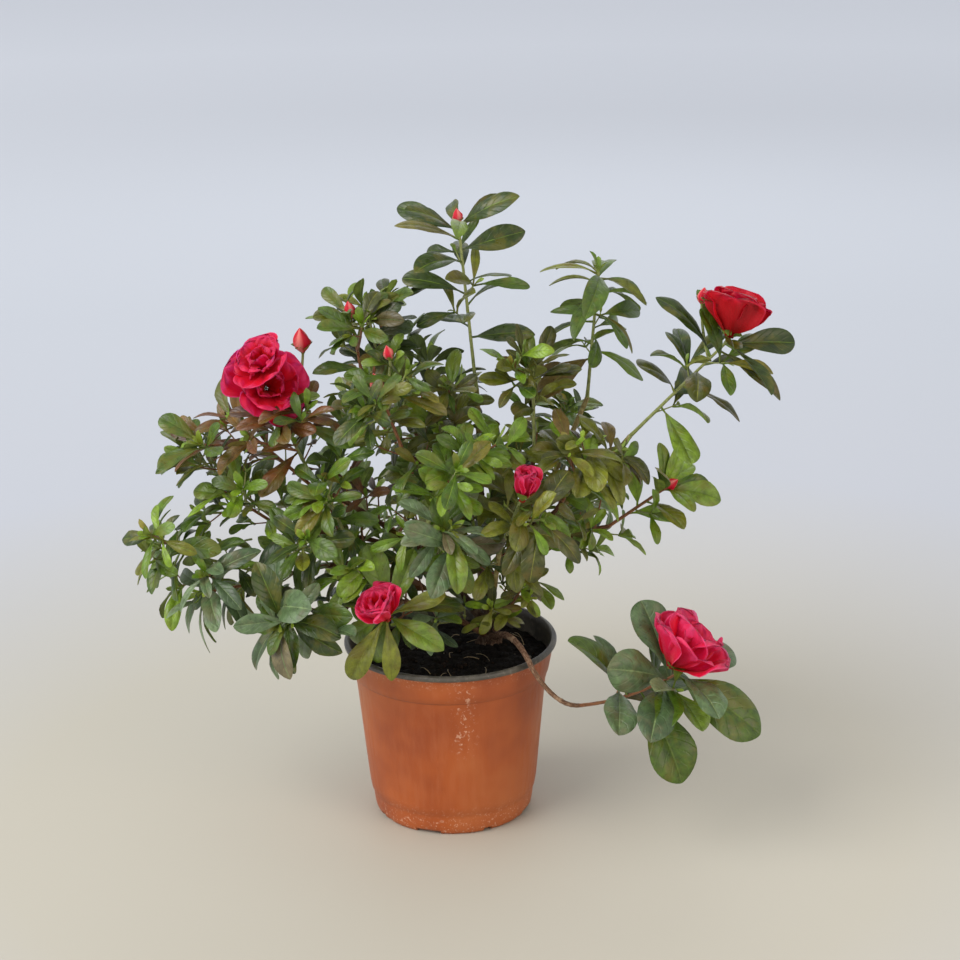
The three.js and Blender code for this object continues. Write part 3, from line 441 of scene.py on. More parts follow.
def place_on(limb, share):
    curve, _, steps = limb
    piece = min(steps - 1, math.floor(share * steps))
    start, end = curve.point(piece / steps), curve.point((piece + 1) / steps)
    along = curve.tangent(1) if share == 1 else unit(end - start)
    return start + (end - start) * (share * steps - piece), along


def foot_gap(place, way, radius, bar):
    """How far a limb's foot, at a trial place, lies from its parent's round bar."""
    point, along, bar_radius, ends = bar
    over = across(SIDEWAYS if abs(way[2]) > 0.9 else VERTICAL, way)
    side = cross(way, over)
    nearest = math.inf
    for i in range(FOOT_POINTS):
        angle = i / FOOT_POINTS * 2 * math.pi
        ring = over * (radius * math.cos(angle)) + side * (radius * math.sin(angle))
        for rise in (0, 0.5, 1, 2):
            rest = place - point + ring + way * (radius * rise)
            beyond = rest @ along
            rest = rest - along * beyond
            beside = math.sqrt(rest @ rest) - bar_radius
            past = ends and beyond > 0
            nearest = min(nearest, math.hypot(beyond, max(0, beside)) if past else beside)
    return nearest


def seat(row, radius):
    """Where a limb or stem starts, a hair clear of its parent."""
    parent = limbs[row["parent"]]
    share = row.get("at", 1)
    way = arched(vec(0, 0, 0), row).tangent(0)
    point, along = place_on(parent, share)
    out = across(way, along)
    over = across(SIDEWAYS, along)
    angle = math.atan2(out @ over, out @ -cross(over, along))
    bar = (point.copy(), along, parent[1](share, angle), share == 1)
    sharing = [r for r in BOUGHS + MASSES if r["parent"] == row["parent"] and r.get("at", 1) == 1]
    if share == 1 and len(sharing) > 1:
        others = [arched(vec(0, 0, 0), r).tangent(0) for r in sharing if r is not row]
        away = way * len(others)
        for other in others:
            away = away - other
        point = point + across(away, along) * (radius + LIMB_GAP)
    outwards = along if share == 1 else out
    while foot_gap(point, way, radius, bar) < LIMB_GAP:
        point = point + outwards * SEAT_STEP
    return point


def grow_limb(row, foot, tip, steps):
    register_limb(row["name"], arched(seat(row, foot), row), taper(foot, tip), steps)


def pot_drum():
    """The pot as a drum of 16 sides, which the leaves keep clear of."""
    sides = 16
    corners, faces = [], [[], []]
    for i in range(sides):
        angle = i / sides * 2 * math.pi
        x, y = (RIM_RADIUS + 1) * math.cos(angle), (RIM_RADIUS + 1) * math.sin(angle)
        corners += [vec(x, y, 0), vec(x, y, POT_HEIGHT)]
        after = (i + 1) % sides
        faces.append([2 * i, 2 * after, 2 * after + 1, 2 * i + 1])
        faces[0].append(2 * i)
        faces[1].append(2 * i + 1)
    return block("pot", corners, faces)


# Growth of the masses
LEAF_FACES = [[0, 1, 4], [3, 4, 1], [0, 2, 1], [0, 4, 2], [3, 1, 2], [3, 2, 4]]
# The leaves close together at a tip: how far their turns vary in degrees, and the least and most
# share of a mass's leaf length and spread. Then the same for the finer shoots.
WHORL, FINE_WHORL = (12, (0.68, 1), (0.72, 1.15)), (15, (0.5, 0.82), (0.65, 1.05))
# How side twigs lean, for those of the solids, the finer shoots and the shoots along boughs
TWIG_LEAN, SHOOT_LEAN, BOUGH_SHOOT_LEAN = (0.64, 0.77, 0.1), (0.6, 0.8, 0.15), (0.5, 0.85, 0.2)
# Up to where a stem is bare, unless its row says otherwise
BARE_SHARE = 0.3


def light_at(place):
    """The way that a leaf's upper face turns: up, and outwards from the crown's middle."""
    out = vec(place[0] - CROWN_AXIS[0], place[1] - CROWN_AXIS[1], 0)
    return unit(out) * 0.5 + vec(0, -0.25, 0.8)


def leaf_block(owner, leaf, root_share):
    """A leaf as the solids have it, from a share of its length on."""
    root, way, lift, length = leaf["root"], leaf["way"], leaf["lift"], leaf["length"]
    side = cross(lift, way)
    half = length * leaf["plump"] * LEAF_BROADER / 2
    edge = half * LEAF_FOLD
    middle = root + way * (length * LEAF_WIDEST_AT)
    return block(owner, [
        root + way * length - lift * (leaf["hang"] * length),
        middle + side * half + lift * edge,
        middle + lift * (edge - LEAF_THICKNESS),
        root + way * (length * root_share - ROOT_DEPTH),
        middle - side * half + lift * edge,
    ], LEAF_FACES)


class Mass:
    """One mass of foliage: its twigs, leaves, buds and blooms, grown as the solids are, and then
    carried to finer shoots in the room that is left."""

    def __init__(self, row):
        self.row, self.name, self.spray = row, row["name"], 0
        self.twigs, self.leaves, self.buds, self.blooms = [], [], [], []
        self.blades = Crowd()
        self.start(0)

    def start(self, seed):
        """Begins a round of growth, clear of all that has grown before."""
        self.dice = Dice(self.row["seed"] + seed)
        self.others = Crowd(b for b in bodies if b.owner != self.name)
        self.own = []

    def add_twig(self, curve, foot, steps=SIDE_STEPS, side=True):
        parts = sticks(self.name, curve, steps, taper(foot, foot * TWIG_TIP_SHARE))
        if side and not all(self.others.fits(part, NEIGHBOUR_GAP) for part in parts):
            return False
        self.own += parts
        self.twigs.append(dict(curve=curve, foot=foot, spray=self.spray, side=side))
        return True

    def add_leaf(self, curve, share, azimuth, spread, length):
        row = self.row
        root = curve.point(share)
        light = light_at(root)
        along = unit(curve.tangent(share) + light * row["facing"])
        twist = math.radians(self.dice.between(-LEAF_TWIST, LEAF_TWIST))
        for turn in LEAF_TURNS:
            out = outward(along, azimuth + turn)
            way = unit(opened(along, spread, out) - VERTICAL * row["hang"])
            lift = turned(across(along * 0.4 + light, way), way, twist)
            leaf = dict(root=root, way=way, lift=lift, length=length, plump=row["plump"], hang=row["hang"],
                        spray=self.spray, tint=row["tint"])
            whole = leaf_block(self.name, leaf, 0)
            blade = leaf_block(self.name, leaf, OWN_LEAF_SHARE)
            if self.others.fits(whole, NEIGHBOUR_GAP) and self.blades.fits(blade, OWN_LEAF_GAP):
                self.blades.add(blade)
                self.own.append(whole)
                self.leaves.append(leaf)
                return

    def add_whorl(self, curve, count, looks, room):
        """Leaves close together at a tip, all round it."""
        row, dice = self.row, self.dice
        jitter, lengths, spreads = looks
        azimuth = dice.between(0, 360)
        for i in range(count):
            azimuth += 360 / count + dice.between(-jitter, jitter)
            length = row["leaf"] * dice.between(*lengths)
            share = 1 - (i + 0.3) * WHORL_PITCH / room
            self.add_leaf(curve, share, azimuth, row["spread"] * dice.between(*spreads), length)
        return azimuth

    def add_fine_whorl(self, shoot, count):
        self.add_whorl(shoot, math.floor(count), FINE_WHORL, 2 * shoot.length())
        self.spray += 1

    def add_leaves(self, curve, count, bare, whorl):
        row, dice = self.row, self.dice
        azimuth = self.add_whorl(curve, whorl, WHORL, curve.length())
        for i in range(count):
            azimuth += GOLDEN_TURN
            share = bare + (0.95 - bare) * (i + 0.3) / count
            length = row["leaf"] * dice.between(0.78, 1.08)
            spread = (row["spread"] + 14 * (1 - share)) * dice.between(0.9, 1.15)
            self.add_leaf(curve, share, azimuth, spread, length)
        self.spray += 1

    def add_ball(self, centre, radius):
        self.own.append(Body(self.name, [centre], radius))

    def add_bloom(self, stem):
        width = self.row["bloom"]
        way = unit(stem.tangent(1) * 0.35 + vec(0, -0.35, 0.9))
        aside = 0.2 + self.dice.between(-0.2, 0.2) * 0.1
        centre = stem.point(1) + way * (width * 0.5)
        self.blooms.append(dict(centre=centre, way=way, width=width, stalk=stem.point(0.97)))
        self.add_ball(centre, width * 0.42)
        if self.row.get("twin"):
            second = centre + vec(-width * aside, 0, width * 0.4)
            self.blooms.append(dict(centre=second, way=way, width=width * 0.85, stalk=None))
            self.add_ball(second, width * 0.36)

    def add_bud(self, stem):
        way, width = stem.tangent(1), self.row["bud"]
        centre = stem.point(1) + way * (width * 0.55)
        self.buds.append(dict(centre=centre, way=way, width=width))
        self.add_ball(centre, width * 0.6)

    def forks(self, curve, count, first, span):
        """Where side twigs leave a curve: the share, the turn, the way on and the way out of each."""
        turn = self.dice.between(0, 360)
        for i in range(count):
            share = first + span * (i + self.dice.between(0.1, 0.9)) / count
            along = curve.tangent(share)
            azimuth = turn + i * GOLDEN_TURN
            yield share, azimuth, along, outward(along, azimuth)

    def grow(self):
        row, dice, stem = self.row, self.dice, limbs[self.name][0]
        self.add_twig(stem, TWIG_RADIUS, STEM_STEPS, False)
        if "bloom" in row:
            self.add_bloom(stem)
        if "bud" in row:
            self.add_bud(stem)
        self.add_leaves(stem, row["leaves"], row.get("bare", BARE_SHARE), row["whorl"])
        for share, _, along, out in self.forks(stem, row["twigs"], 0.35, 0.5):
            length = row["length"] * dice.between(0.35, 0.5) + 6
            curve = side_shoot(stem.point(share), along, out, TWIG_LEAN, length, 0.06)
            leaf_count = math.floor(dice.between(0.5, 1.6) + 0.5)
            whorl = math.floor(dice.between(3.1, 4.4) + 0.5)
            if self.add_twig(curve, SIDE_TWIG_RADIUS):
                self.add_leaves(curve, leaf_count, 0.35, whorl)
        bodies.extend(self.own)

    def grow_finer(self):
        """Short side shoots with small leaves, in the room that the mass still has."""
        row = self.row
        self.start(FINE_SEED)
        for twig in list(self.twigs):
            curve = twig["curve"]
            count = math.floor(curve.length() / SHOOT_PITCH * (1 if row["twigs"] else SPIRE_SHARE))
            for share, azimuth, along, out in self.forks(curve, count, 0.22, 0.7):
                length = self.dice.between(*SHOOT_LENGTH)
                shoot = side_shoot(curve.point(share), along, out, SHOOT_LEAN, length, 0.05)
                if self.add_twig(shoot, SHOOT_RADIUS):
                    self.add_fine_whorl(shoot, self.dice.between(2.6, 4.6))
                else:
                    self.add_leaf(curve, share, azimuth, row["spread"],
                                  row["leaf"] * self.dice.between(0.4, 0.6))
        bodies.extend(self.own)

    def grow_along(self, curve, radius):
        """Leafy shoots along a bough, past its bare foot."""
        count = math.floor(curve.length() / BOUGH_SHOOT_PITCH)
        for share, _, along, out in self.forks(curve, count, 0.22, 0.76):
            length = self.dice.between(*BOUGH_SHOOT_LENGTH) * (0.55 + 0.45 * share)
            start = curve.point(share) + out * (radius(share, 0) * 0.5)
            shoot = side_shoot(start, along, out, BOUGH_SHOOT_LEAN, length, 0.06)
            if self.add_twig(shoot, SHOOT_RADIUS * 1.2):
                self.add_fine_whorl(shoot, self.dice.between(3.2, 5.6))
        bodies.extend(self.own)

    def take(self, other):
        """Takes over the shoots that grew on the mass's bough."""
        for mine, theirs in ((self.twigs, other.twigs), (self.leaves, other.leaves)):
            mine += [dict(item, spray=item["spray"] + self.spray) for item in theirs]
        self.spray += other.spray

    def add_tip_leaves(self):
        """The small new leaves that stand close together at the tip of each twig."""
        dice = Dice(self.row["seed"] + TIP_SEED)
        for twig in self.twigs:
            if (self.blooms or self.buds) and not twig["side"]:
                continue
            small = twig["foot"] < SIDE_TWIG_RADIUS
            tip, along = twig["curve"].point(1), twig["curve"].tangent(1)
            azimuth = dice.between(0, 360)
            for i in range(1 if small else 4):
                azimuth += GOLDEN_TURN
                way = opened(along, dice.between(14, 40), outward(along, azimuth))
                length = dice.between(5, 9) if small else dice.between(8, 15)
                self.leaves.append(dict(root=tip - along * (0.6 * i), way=way, lift=across(along, way),
                                        length=length, plump=dice.between(0.34, 0.44),
                                        hang=dice.between(-0.04, 0.08), spray=twig["spray"], tint="young"))


def stands_on(row, bough):
    """Whether a mass stands on a bough, or on one that grows from it."""
    parents = {b["name"]: b["parent"] for b in BOUGHS}
    parent = row["parent"]
    while parent not in (bough, "trunk"):
        parent = parents[parent]
    return parent == bough


def grow_bough_shoots(masses):
    for number, bough in enumerate(BOUGHS):
        heir = next(mass for mass in masses if stands_on(mass.row, bough["name"]))
        if bough["name"] in BARE_BOUGHS:
            continue
        along = Mass(dict(name=bough["name"], leaf=BOUGH_LEAF, plump=0.44, spread=66, hang=0.1, facing=0.6,
                          tint=heir.row["tint"], seed=BOUGH_SHOOT_SEED + number))
        along.grow_along(*limbs[bough["name"]][:2])
        heir.take(along)


def grow_plant():
    grow_trunk()
    for row in BOUGHS:
        grow_limb(row, row["foot"] / 2, row["end"] / 2, LIMB_STEPS)
    bodies.append(pot_drum())
    for row in MASSES:
        grow_limb(row, TWIG_RADIUS, TWIG_RADIUS * TWIG_TIP_SHARE, STEM_STEPS)
    masses = []
    for row in MASSES:
        masses.append(Mass(row))
        masses[-1].grow()
    for mass in masses:
        mass.grow_finer()
    grow_bough_shoots(masses)
    for mass in masses:
        mass.add_tip_leaves()
    return masses


# Meshes
def placed(name, data):
    """A new object with its data, in the scene."""
    thing = bpy.data.objects.new(name, data)
    bpy.context.collection.objects.link(thing)
    return thing


class Heap:
    """Gathers many small shapes into one mesh, with a material's number for each face."""

    def __init__(self, *nodes):
        self.points, self.faces, self.paints, self.corners, self.rims = [], [], [], [], []
        self.nodes, self.count = set(nodes), 0

    def add(self, points, faces, paints, corner_uv, rim=None):
        """Faces are arrays of quads or triangles, each with its paints and its corners' UV."""
        for some, paint, uv in zip(faces, paints, corner_uv):
            if len(some):
                self.faces.append(some + self.count)
                self.paints.append(np.broadcast_to(paint, len(some)))
                self.corners.append(uv)
        self.points.append(points)
        self.rims.append(np.zeros(len(points), bool) if rim is None else rim)
        self.count += len(points)

    def make(self, name, materials, slot, nodes=()):
        mesh = bpy.data.meshes.new(name)
        faces = [face for some in self.faces for face in some.tolist()]
        mesh.from_pydata(np.concatenate(self.points) * MILLIMETRE, [], faces)
        mesh.polygons.foreach_set("material_index", np.concatenate(self.paints).astype(np.int32))
        mesh.polygons.foreach_set("use_smooth", np.ones(len(faces), bool))
        layer = mesh.uv_layers.new(name="place")
        layer.data.foreach_set("uv", np.concatenate([uv.reshape(-1) for uv in self.corners]))
        self.keep_rims_sharp(mesh)
        for material in materials:
            mesh.materials.append(material)
        piece = placed(name, mesh)
        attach(piece, "root")
        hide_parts(*(nodes or sorted(self.nodes)))

    def keep_rims_sharp(self, mesh):
        rims = np.concatenate(self.rims)
        ends = np.empty(len(mesh.edges) * 2, np.int32)
        mesh.edges.foreach_get("vertices", ends)
        sharp = rims[ends.reshape(-1, 2)].all(1)
        mesh.attributes.new("sharp_edge", "BOOLEAN", "EDGE").data.foreach_set("value", sharp)


@functools.cache
def blade_plan(rows, cols):
    """The faces of a thin closed blade, whose upper and under skin share their rim: its quads and its
    triangles, each with their sides and columns, and which points lie on the rim."""
    upper = np.arange(rows * (cols + 1)).reshape(rows, cols + 1)
    under = upper.copy()
    under[:, 1:-1] = upper.size + np.arange(rows * (cols - 1)).reshape(rows, cols - 1)
    tip = upper.size + rows * (cols - 1)
    quads, tris = [], []
    for side, skin in enumerate((upper, under)):
        for row, col in np.ndindex(rows - 1, cols):
            a, b, c, d = skin[row, col], skin[row + 1, col], skin[row + 1, col + 1], skin[row, col + 1]
            quads.append(((a, d, c, b) if side else (a, b, c, d), side, col))
        for col in range(cols):
            a, b = skin[-1, col], skin[-1, col + 1]
            tris.append(((b, tip, a) if side else (a, tip, b), side, col))
    for col in range(cols):
        ring = dict.fromkeys((upper[0, col], upper[0, col + 1], under[0, col + 1], under[0, col]))
        (quads if len(ring) == 4 else tris).append((tuple(ring), 1, col))
    rim = np.zeros(tip + 1, bool)
    rim[upper[:, 0]] = rim[upper[:, -1]] = rim[tip] = True
    return [[np.array(part) for part in zip(*kind)] for kind in (quads, tris)], rim


LEAF_ROWS = np.array((0, 0.05, 0.12, 0.21, 0.32, 0.44, 0.56, 0.68, 0.79, 0.88, 0.945, 0.985))
LEAF_COLS = np.array((-1, -0.7, -0.36, -0.035, 0, 0.035, 0.36, 0.7, 1))
FINE_ROWS = np.array((0, 0.03, 0.08, 0.14, 0.21, 0.29, 0.37, 0.45, 0.53, 0.61, 0.69, 0.76, 0.82, 0.875,
                      0.92, 0.955, 0.98, 0.994))
MID_ROWS = np.array((0, 0.08, 0.22, 0.38, 0.54, 0.7, 0.84, 0.93, 0.98))
MID_COLS = np.array((-1, -0.55, -0.04, 0.04, 0.55, 1))
SMALL_ROWS = np.array((0, 0.1, 0.3, 0.5, 0.7, 0.88))
SMALL_COLS = np.array((-1, -0.5, 0, 0.5, 1))
PETAL_ROWS = np.array((0, 0.08, 0.2, 0.32, 0.44, 0.56, 0.67, 0.77, 0.86, 0.93, 0.975))
PETAL_COLS = np.array((-1, -0.94, -0.82, -0.68, -0.52, -0.36, -0.18, 0, 0.18, 0.36, 0.52, 0.68, 0.82, 0.94,
                       1))
# How far one leaf or petal differs from the next
LEAF_SPANS = dict(root_power=(1.15, 1.6), tip_power=(0.5, 0.74), bow=(0.02, 0.08), curl=(-0.1, 0.55),
                  sway=(-0.06, 0.06), waves=(1.4, 2.6), phase=(0, 6.28), fold=(0.1, 0.5),
                  puff=(0.05, 0.13), recurve=(0, 0.25), wave=(0.03, 0.13), roll=(-0.5, 0.5))
PETAL_SPANS = dict(root_power=(0.8, 1), tip_power=(0.26, 0.36), bow=(-0.13, -0.06), curl=(0.1, 0.8),
                   sway=(-0.06, 0.06), waves=(1.4, 2.2), phase=(0, 6.28), fold=(0.2, 0.42),
                   recurve=(0, 0.2), wave=(0.04, 0.09), frills=(3.2, 5), frill=(0.09, 0.17),
                   roll=(-0.2, 0.2))


def outline(t, stalk, root_power, tip_power):
    """A blade's half width at each share of its length, as a share of its widest."""
    s = np.clip((t - stalk) / (1 - stalk), 0, 1)
    peak = root_power / (root_power + tip_power)
    return s ** root_power * (1 - s) ** tip_power / (peak ** root_power * (1 - peak) ** tip_power)


def blade(heap, leaf, shape, rows, cols, paint_of):
    """Adds one leaf or petal: folded, puffed between its veins, with a waved rim and a rolled tip."""
    plan, rim = blade_plan(len(rows), len(cols) - 1)
    length, half_width = leaf["length"], leaf["length"] * leaf["plump"] / 2
    t, u = np.append(rows, 1.0)[:, None], cols[None, :]
    lap = np.abs(u)
    half = outline(t, shape["stalk"], shape["root_power"], shape["tip_power"]) * half_width
    half = np.maximum(half, shape["stem"] * (t < 0.99))
    spine = length * (shape["bow"] * 4 * t * (1 - t) - leaf["hang"] * t * t
                      - shape["curl"] * np.maximum(0, t - 0.55) ** 2)
    sway = length * shape["sway"] * t * t
    leafy = np.clip(t / max(shape["stalk"] * 2, 0.02) - 0.5, 0, 1)
    wave = np.sin(2 * math.pi * shape["waves"] * t + shape["phase"] + 1.9 * (u > 0))
    frill = np.sin(math.pi * shape["frills"] * u + shape["phase"] * 2) * t ** 3
    frill = frill + 0.5 * np.sin(math.pi * shape["frills"] * 2.1 * u + shape["phase"]) * t ** 8
    up = half * leafy * (shape["fold"] * lap + shape["puff"] * np.sin(math.pi * np.minimum(1, lap * 1.15))
                         - shape["recurve"] * lap ** 3 + shape["wave"] * wave * lap ** 2
                         + shape["frill"] * frill)
    aside = u * half * (1 - 0.35 * shape["fold"] * lap)
    turn = shape["roll"] * (t - 0.3)
    aside, up = aside * np.cos(turn) - up * np.sin(turn), aside * np.sin(turn) + up * np.cos(turn)
    thick = shape["thick"] + shape["rib"] * np.exp(-(u / 0.12) ** 2) * (1 - 0.75 * t)
    thick = thick + (1 - leafy) * shape["stem"] * 1.4
    side = cross(leaf["lift"], leaf["way"])
    notches = 0.3 * shape["frill"] * (1 - np.cos(math.pi * shape["frills"] * 1.7 * u))
    along = t * length * (1 - notches * t ** 8 * (1 - lap ** 4)) - ROOT_DEPTH

    def place(aside, up):
        return (leaf["root"] + along[..., None] * leaf["way"] + (aside + sway)[..., None] * side
                + (spine + up)[..., None] * leaf["lift"])

    upper = place(aside, up)
    under = place(aside, up - thick)
    points = np.concatenate([upper[:-1].reshape(-1, 3), under[:-1, 1:-1].reshape(-1, 3),
                             upper[-1:, len(cols) // 2]])
    flat = np.stack(np.broadcast_arrays(u * 0.5 + 0.5, t), -1)
    uv = np.concatenate([flat[:-1].reshape(-1, 2), flat[:-1, 1:-1].reshape(-1, 2), [(0.5, 1.0)]])
    faces, sides, columns = zip(*plan)
    heap.add(points, faces, list(map(paint_of, sides, columns)), [uv[some] for some in faces], rim)


def dealt(spans, dice):
    return {key: dice.between(*span) for key, span in spans.items()}


def leaf_shape(dice, young):
    return dict(dealt(LEAF_SPANS, dice), stalk=0.07, frills=2, frill=0, stem=0.35 if young else 0.55,
                thick=0.16 if young else 0.24, rib=0.15 if young else 0.36)


def petal_shape(dice, crumple):
    """A petal's shape, with more crumpling towards the bloom's heart."""
    shape = dict(dealt(PETAL_SPANS, dice), stalk=0, stem=0.9, puff=0.05, thick=0.22, rib=0.08)
    for key, share in (("wave", 1), ("frill", 0.6), ("roll", 1)):
        shape[key] *= 1 + crumple * share
    return shape


def varied(leaf, dice):
    """The leaf's own breadth and length, within the room that its solid keeps for it."""
    return dict(leaf, plump=leaf["plump"] * dice.between(*BREADTHS),
                length=leaf["length"] * dice.between(*LENGTHS))


# A leaf's paints, by their numbers in its piece's materials
SHADE, BASE, LIGHT, ACCENT, RIB, UNDER = range(6)


def leaf_paint(upper, cols):
    middle = np.flatnonzero(np.abs(cols[:-1] + cols[1:]) < 0.1)
    return lambda side, col: np.where(side == 1, UNDER, np.where(np.isin(col, middle), RIB, upper))


def leaf_grid(leaf):
    """The rows and columns of a leaf's mesh, closer on a larger leaf."""
    if leaf["tint"] == "young":
        return SMALL_ROWS, SMALL_COLS
    if leaf["length"] > LARGE_LEAF:
        return FINE_ROWS if leaf["length"] > GRAND_LEAF else LEAF_ROWS, LEAF_COLS
    return MID_ROWS, MID_COLS


def dress_leaves(masses):
    """The leaves of all the masses, one heap for each tint."""
    heaps = {}
    large_buds = [bud for mass in masses for bud in mass.buds if bud["width"] > LARGE_BUD]
    for mass in masses:
        dice, sprays = Dice(mass.row["seed"] + LOOK_SEED), {}
        for leaf in mass.leaves:
            if any(hides_bud(leaf, bud) for bud in large_buds):
                continue
            leaf = dict(leaf, length=leaf["length"] * LEAF_SIZES.get(mass.name, 1))
            upper = sprays.setdefault(leaf["spray"], dice.pick(SHADE, BASE, BASE, LIGHT))
            if dice.next() < ODD_LEAVES:
                upper = dice.pick(SHADE, BASE, LIGHT, ACCENT)
            tint, young = leaf["tint"], leaf["tint"] == "young"
            if dice.next() < STRAY_LEAVES:
                tint = STRAYS[tint]
            heap = heaps.setdefault(tint, Heap())
            heap.nodes.add(mass.name)
            rows, cols = leaf_grid(leaf)
            if not young:
                leaf = varied(leaf, dice)
            blade(heap, leaf, leaf_shape(dice, young), rows, cols, leaf_paint(upper, cols))
    return heaps


def hides_bud(leaf, bud):
    """Whether a leaf stands between a large bud and the picture's side."""
    for share in (0.25, 0.5, 0.75, 1):
        away = leaf["root"] + leaf["way"] * (leaf["length"] * share) - bud["centre"]
        if away[1] < 2 and abs(away[0]) < 9 and abs(away[2] + away[1] * VIEW_SLOPE) < 10:
            return True
    return False


# Tubes
def ring_angles(sides):
    return np.arange(sides) / sides * 2 * math.pi


def tube(heap, curve, radius, sides, step, paint, before=0.0, after=0.0, relief=None):
    """A limb's or a twig's skin, from a little inside its parent to a rounded tip."""
    length = curve.length()
    count = max(3, math.ceil((length + before + after) / step))
    marks = np.linspace(-before, length + after, count + 1)
    shares = np.clip(marks / length, 0, 1)
    tangents = [curve.tangent(share) for share in shares]
    places = [curve.point(share) + tangent * (mark - share * length)
              for share, tangent, mark in zip(shares, tangents, marks)]
    reach = np.array([radius(share, 0) for share in shares])
    for rise, shrink in ((0.45, 0.86), (0.72, 0.5), (0.8, 0.2)):
        places.append(places[count] + tangents[count] * (reach[count] * rise))
        tangents.append(tangents[count])
        reach = np.append(reach, reach[count] * shrink)
        marks = np.append(marks, marks[count] + reach[count] * rise)
    places, tangents = np.array(places), np.array(tangents)
    reference = across(SIDEWAYS if abs(curve.tangent(0.5)[2]) > 0.9 else VERTICAL, curve.tangent(0.5))
    over = reference - tangents * (tangents @ reference)[:, None]
    over /= np.sqrt((over * over).sum(1))[:, None]
    side = np.cross(tangents, over)
    angles = ring_angles(sides)
    rough = relief(marks[:, None], angles[None, :], marks[:, None] / length) if relief else 0
    wide = np.broadcast_to(reach[:, None] * (1 + rough), (len(reach), sides))
    skin = (places[:, None] + side[:, None] * (wide * np.cos(angles))[..., None]
            + over[:, None] * (wide * np.sin(angles))[..., None])
    add_rings(heap, skin, marks, paint, places[0], places[-1] + tangents[-1] * (reach[-1] * 0.3))


def add_rings(heap, skin, marks, paint, foot, tip, fan_paint=None, flat=False):
    """Adds a skin of closed rings, with a fan over each end. A flat skin has its UV from above."""
    rings, sides = skin.shape[:2]
    index = np.arange(rings * sides).reshape(rings, sides)
    after = np.roll(index, -1, 1)
    quads = np.stack([index[:-1], after[:-1], after[1:], index[1:]], -1).reshape(-1, 4)
    hubs = np.repeat((index.size, index.size + 1), sides)
    tris = np.stack([np.append(after[0], index[-1]), np.append(index[0], after[-1]), hubs], 1)
    points = np.concatenate([skin.reshape(-1, 3), [foot, tip]])
    if flat:
        uv = points[:, :2] / 100
        corner_uv = (uv[quads], uv[tris])
    else:
        grid = np.stack(np.broadcast_arrays(np.arange(sides) / sides, marks[:, None] / UV_LENGTH), -1)
        low, high, one = grid[:-1], grid[1:], np.array((1 / sides, 0))
        corner_uv = (np.stack([low, low + one, high + one, high], 2).reshape(-1, 4, 2),
                     np.append(grid[0], grid[-1], 0)[:, None].repeat(3, 1))
    heap.add(points, (quads, tris), (paint, paint if fan_paint is None else fan_paint), corner_uv)


def bark_relief(seed, depth, ridges, scars):
    """Ridges along a limb, lumps, and the rings that old leaves left."""
    dice = Dice(seed)
    phases = [dice.between(0, 6.28) for _ in range(6)]
    rings = [(dice.between(0, 1), dice.between(0, 6.28), dice.between(0.7, 1.3)) for _ in range(scars)]

    def relief(marks, angles, share):
        rough = depth * np.sin(ridges * angles + 0.35 * marks + phases[0])
        cracks = np.sin((ridges + 2) * angles / 2 - 0.5 * marks + phases[1])
        rough = rough - depth * 0.8 * np.abs(cracks) ** 0.5
        rough = rough + depth * 0.7 * np.sin(3 * angles + 1.3 * marks + phases[2])
        knobs = depth * 0.6 * np.sin(angles + 0.7 * marks + phases[3])
        rough = rough + knobs * np.sin(1.9 * marks + phases[4])
        for place, angle, size in rings:
            near = np.exp(-((share - place) * marks.max() / (0.9 * size)) ** 2)
            rough = rough + 0.16 * size * near * (0.5 + 0.5 * np.cos(angles - angle))
        return rough
    return relief


def trunk_relief(marks, angles, share):
    """The trunk's own ribs that run out into the root flare, with bark over them."""
    low = np.clip(1 - share, 0, 1) ** 2
    flare = 0.1 * low * np.cos(4 * angles + 0.6)
    toes = 0.16 * np.clip(1 - share * 3.2, 0, 1) ** 2 * np.maximum(0, np.cos(5 * angles + 1.2))
    return flare + toes + bark_relief(TRUNK_SEED, 0.035, 9, 5)(marks, angles, share)


def dress_limbs():
    trunk, boughs = Heap("trunk"), Heap()
    tube(trunk, limbs["trunk"][0], lambda share, angle: trunk_radius(share, 0.24), 72, 0.5, OLD_BARK,
         before=2.5, after=1.5, relief=trunk_relief)
    for number, row in enumerate(BOUGHS):
        curve, radius, _ = limbs[row["name"]]
        paint = BARK_OF.get(row["name"], OLD_BARK if row["foot"] >= OLD_GIRTH else YOUNG_BARK)
        tube(boughs, curve, radius, 20, 1.1, paint, before=row["foot"] * 0.6, after=0.8,
             relief=bark_relief(BOUGH_SEED + number, 0.045, 6, 5))
    return trunk, boughs


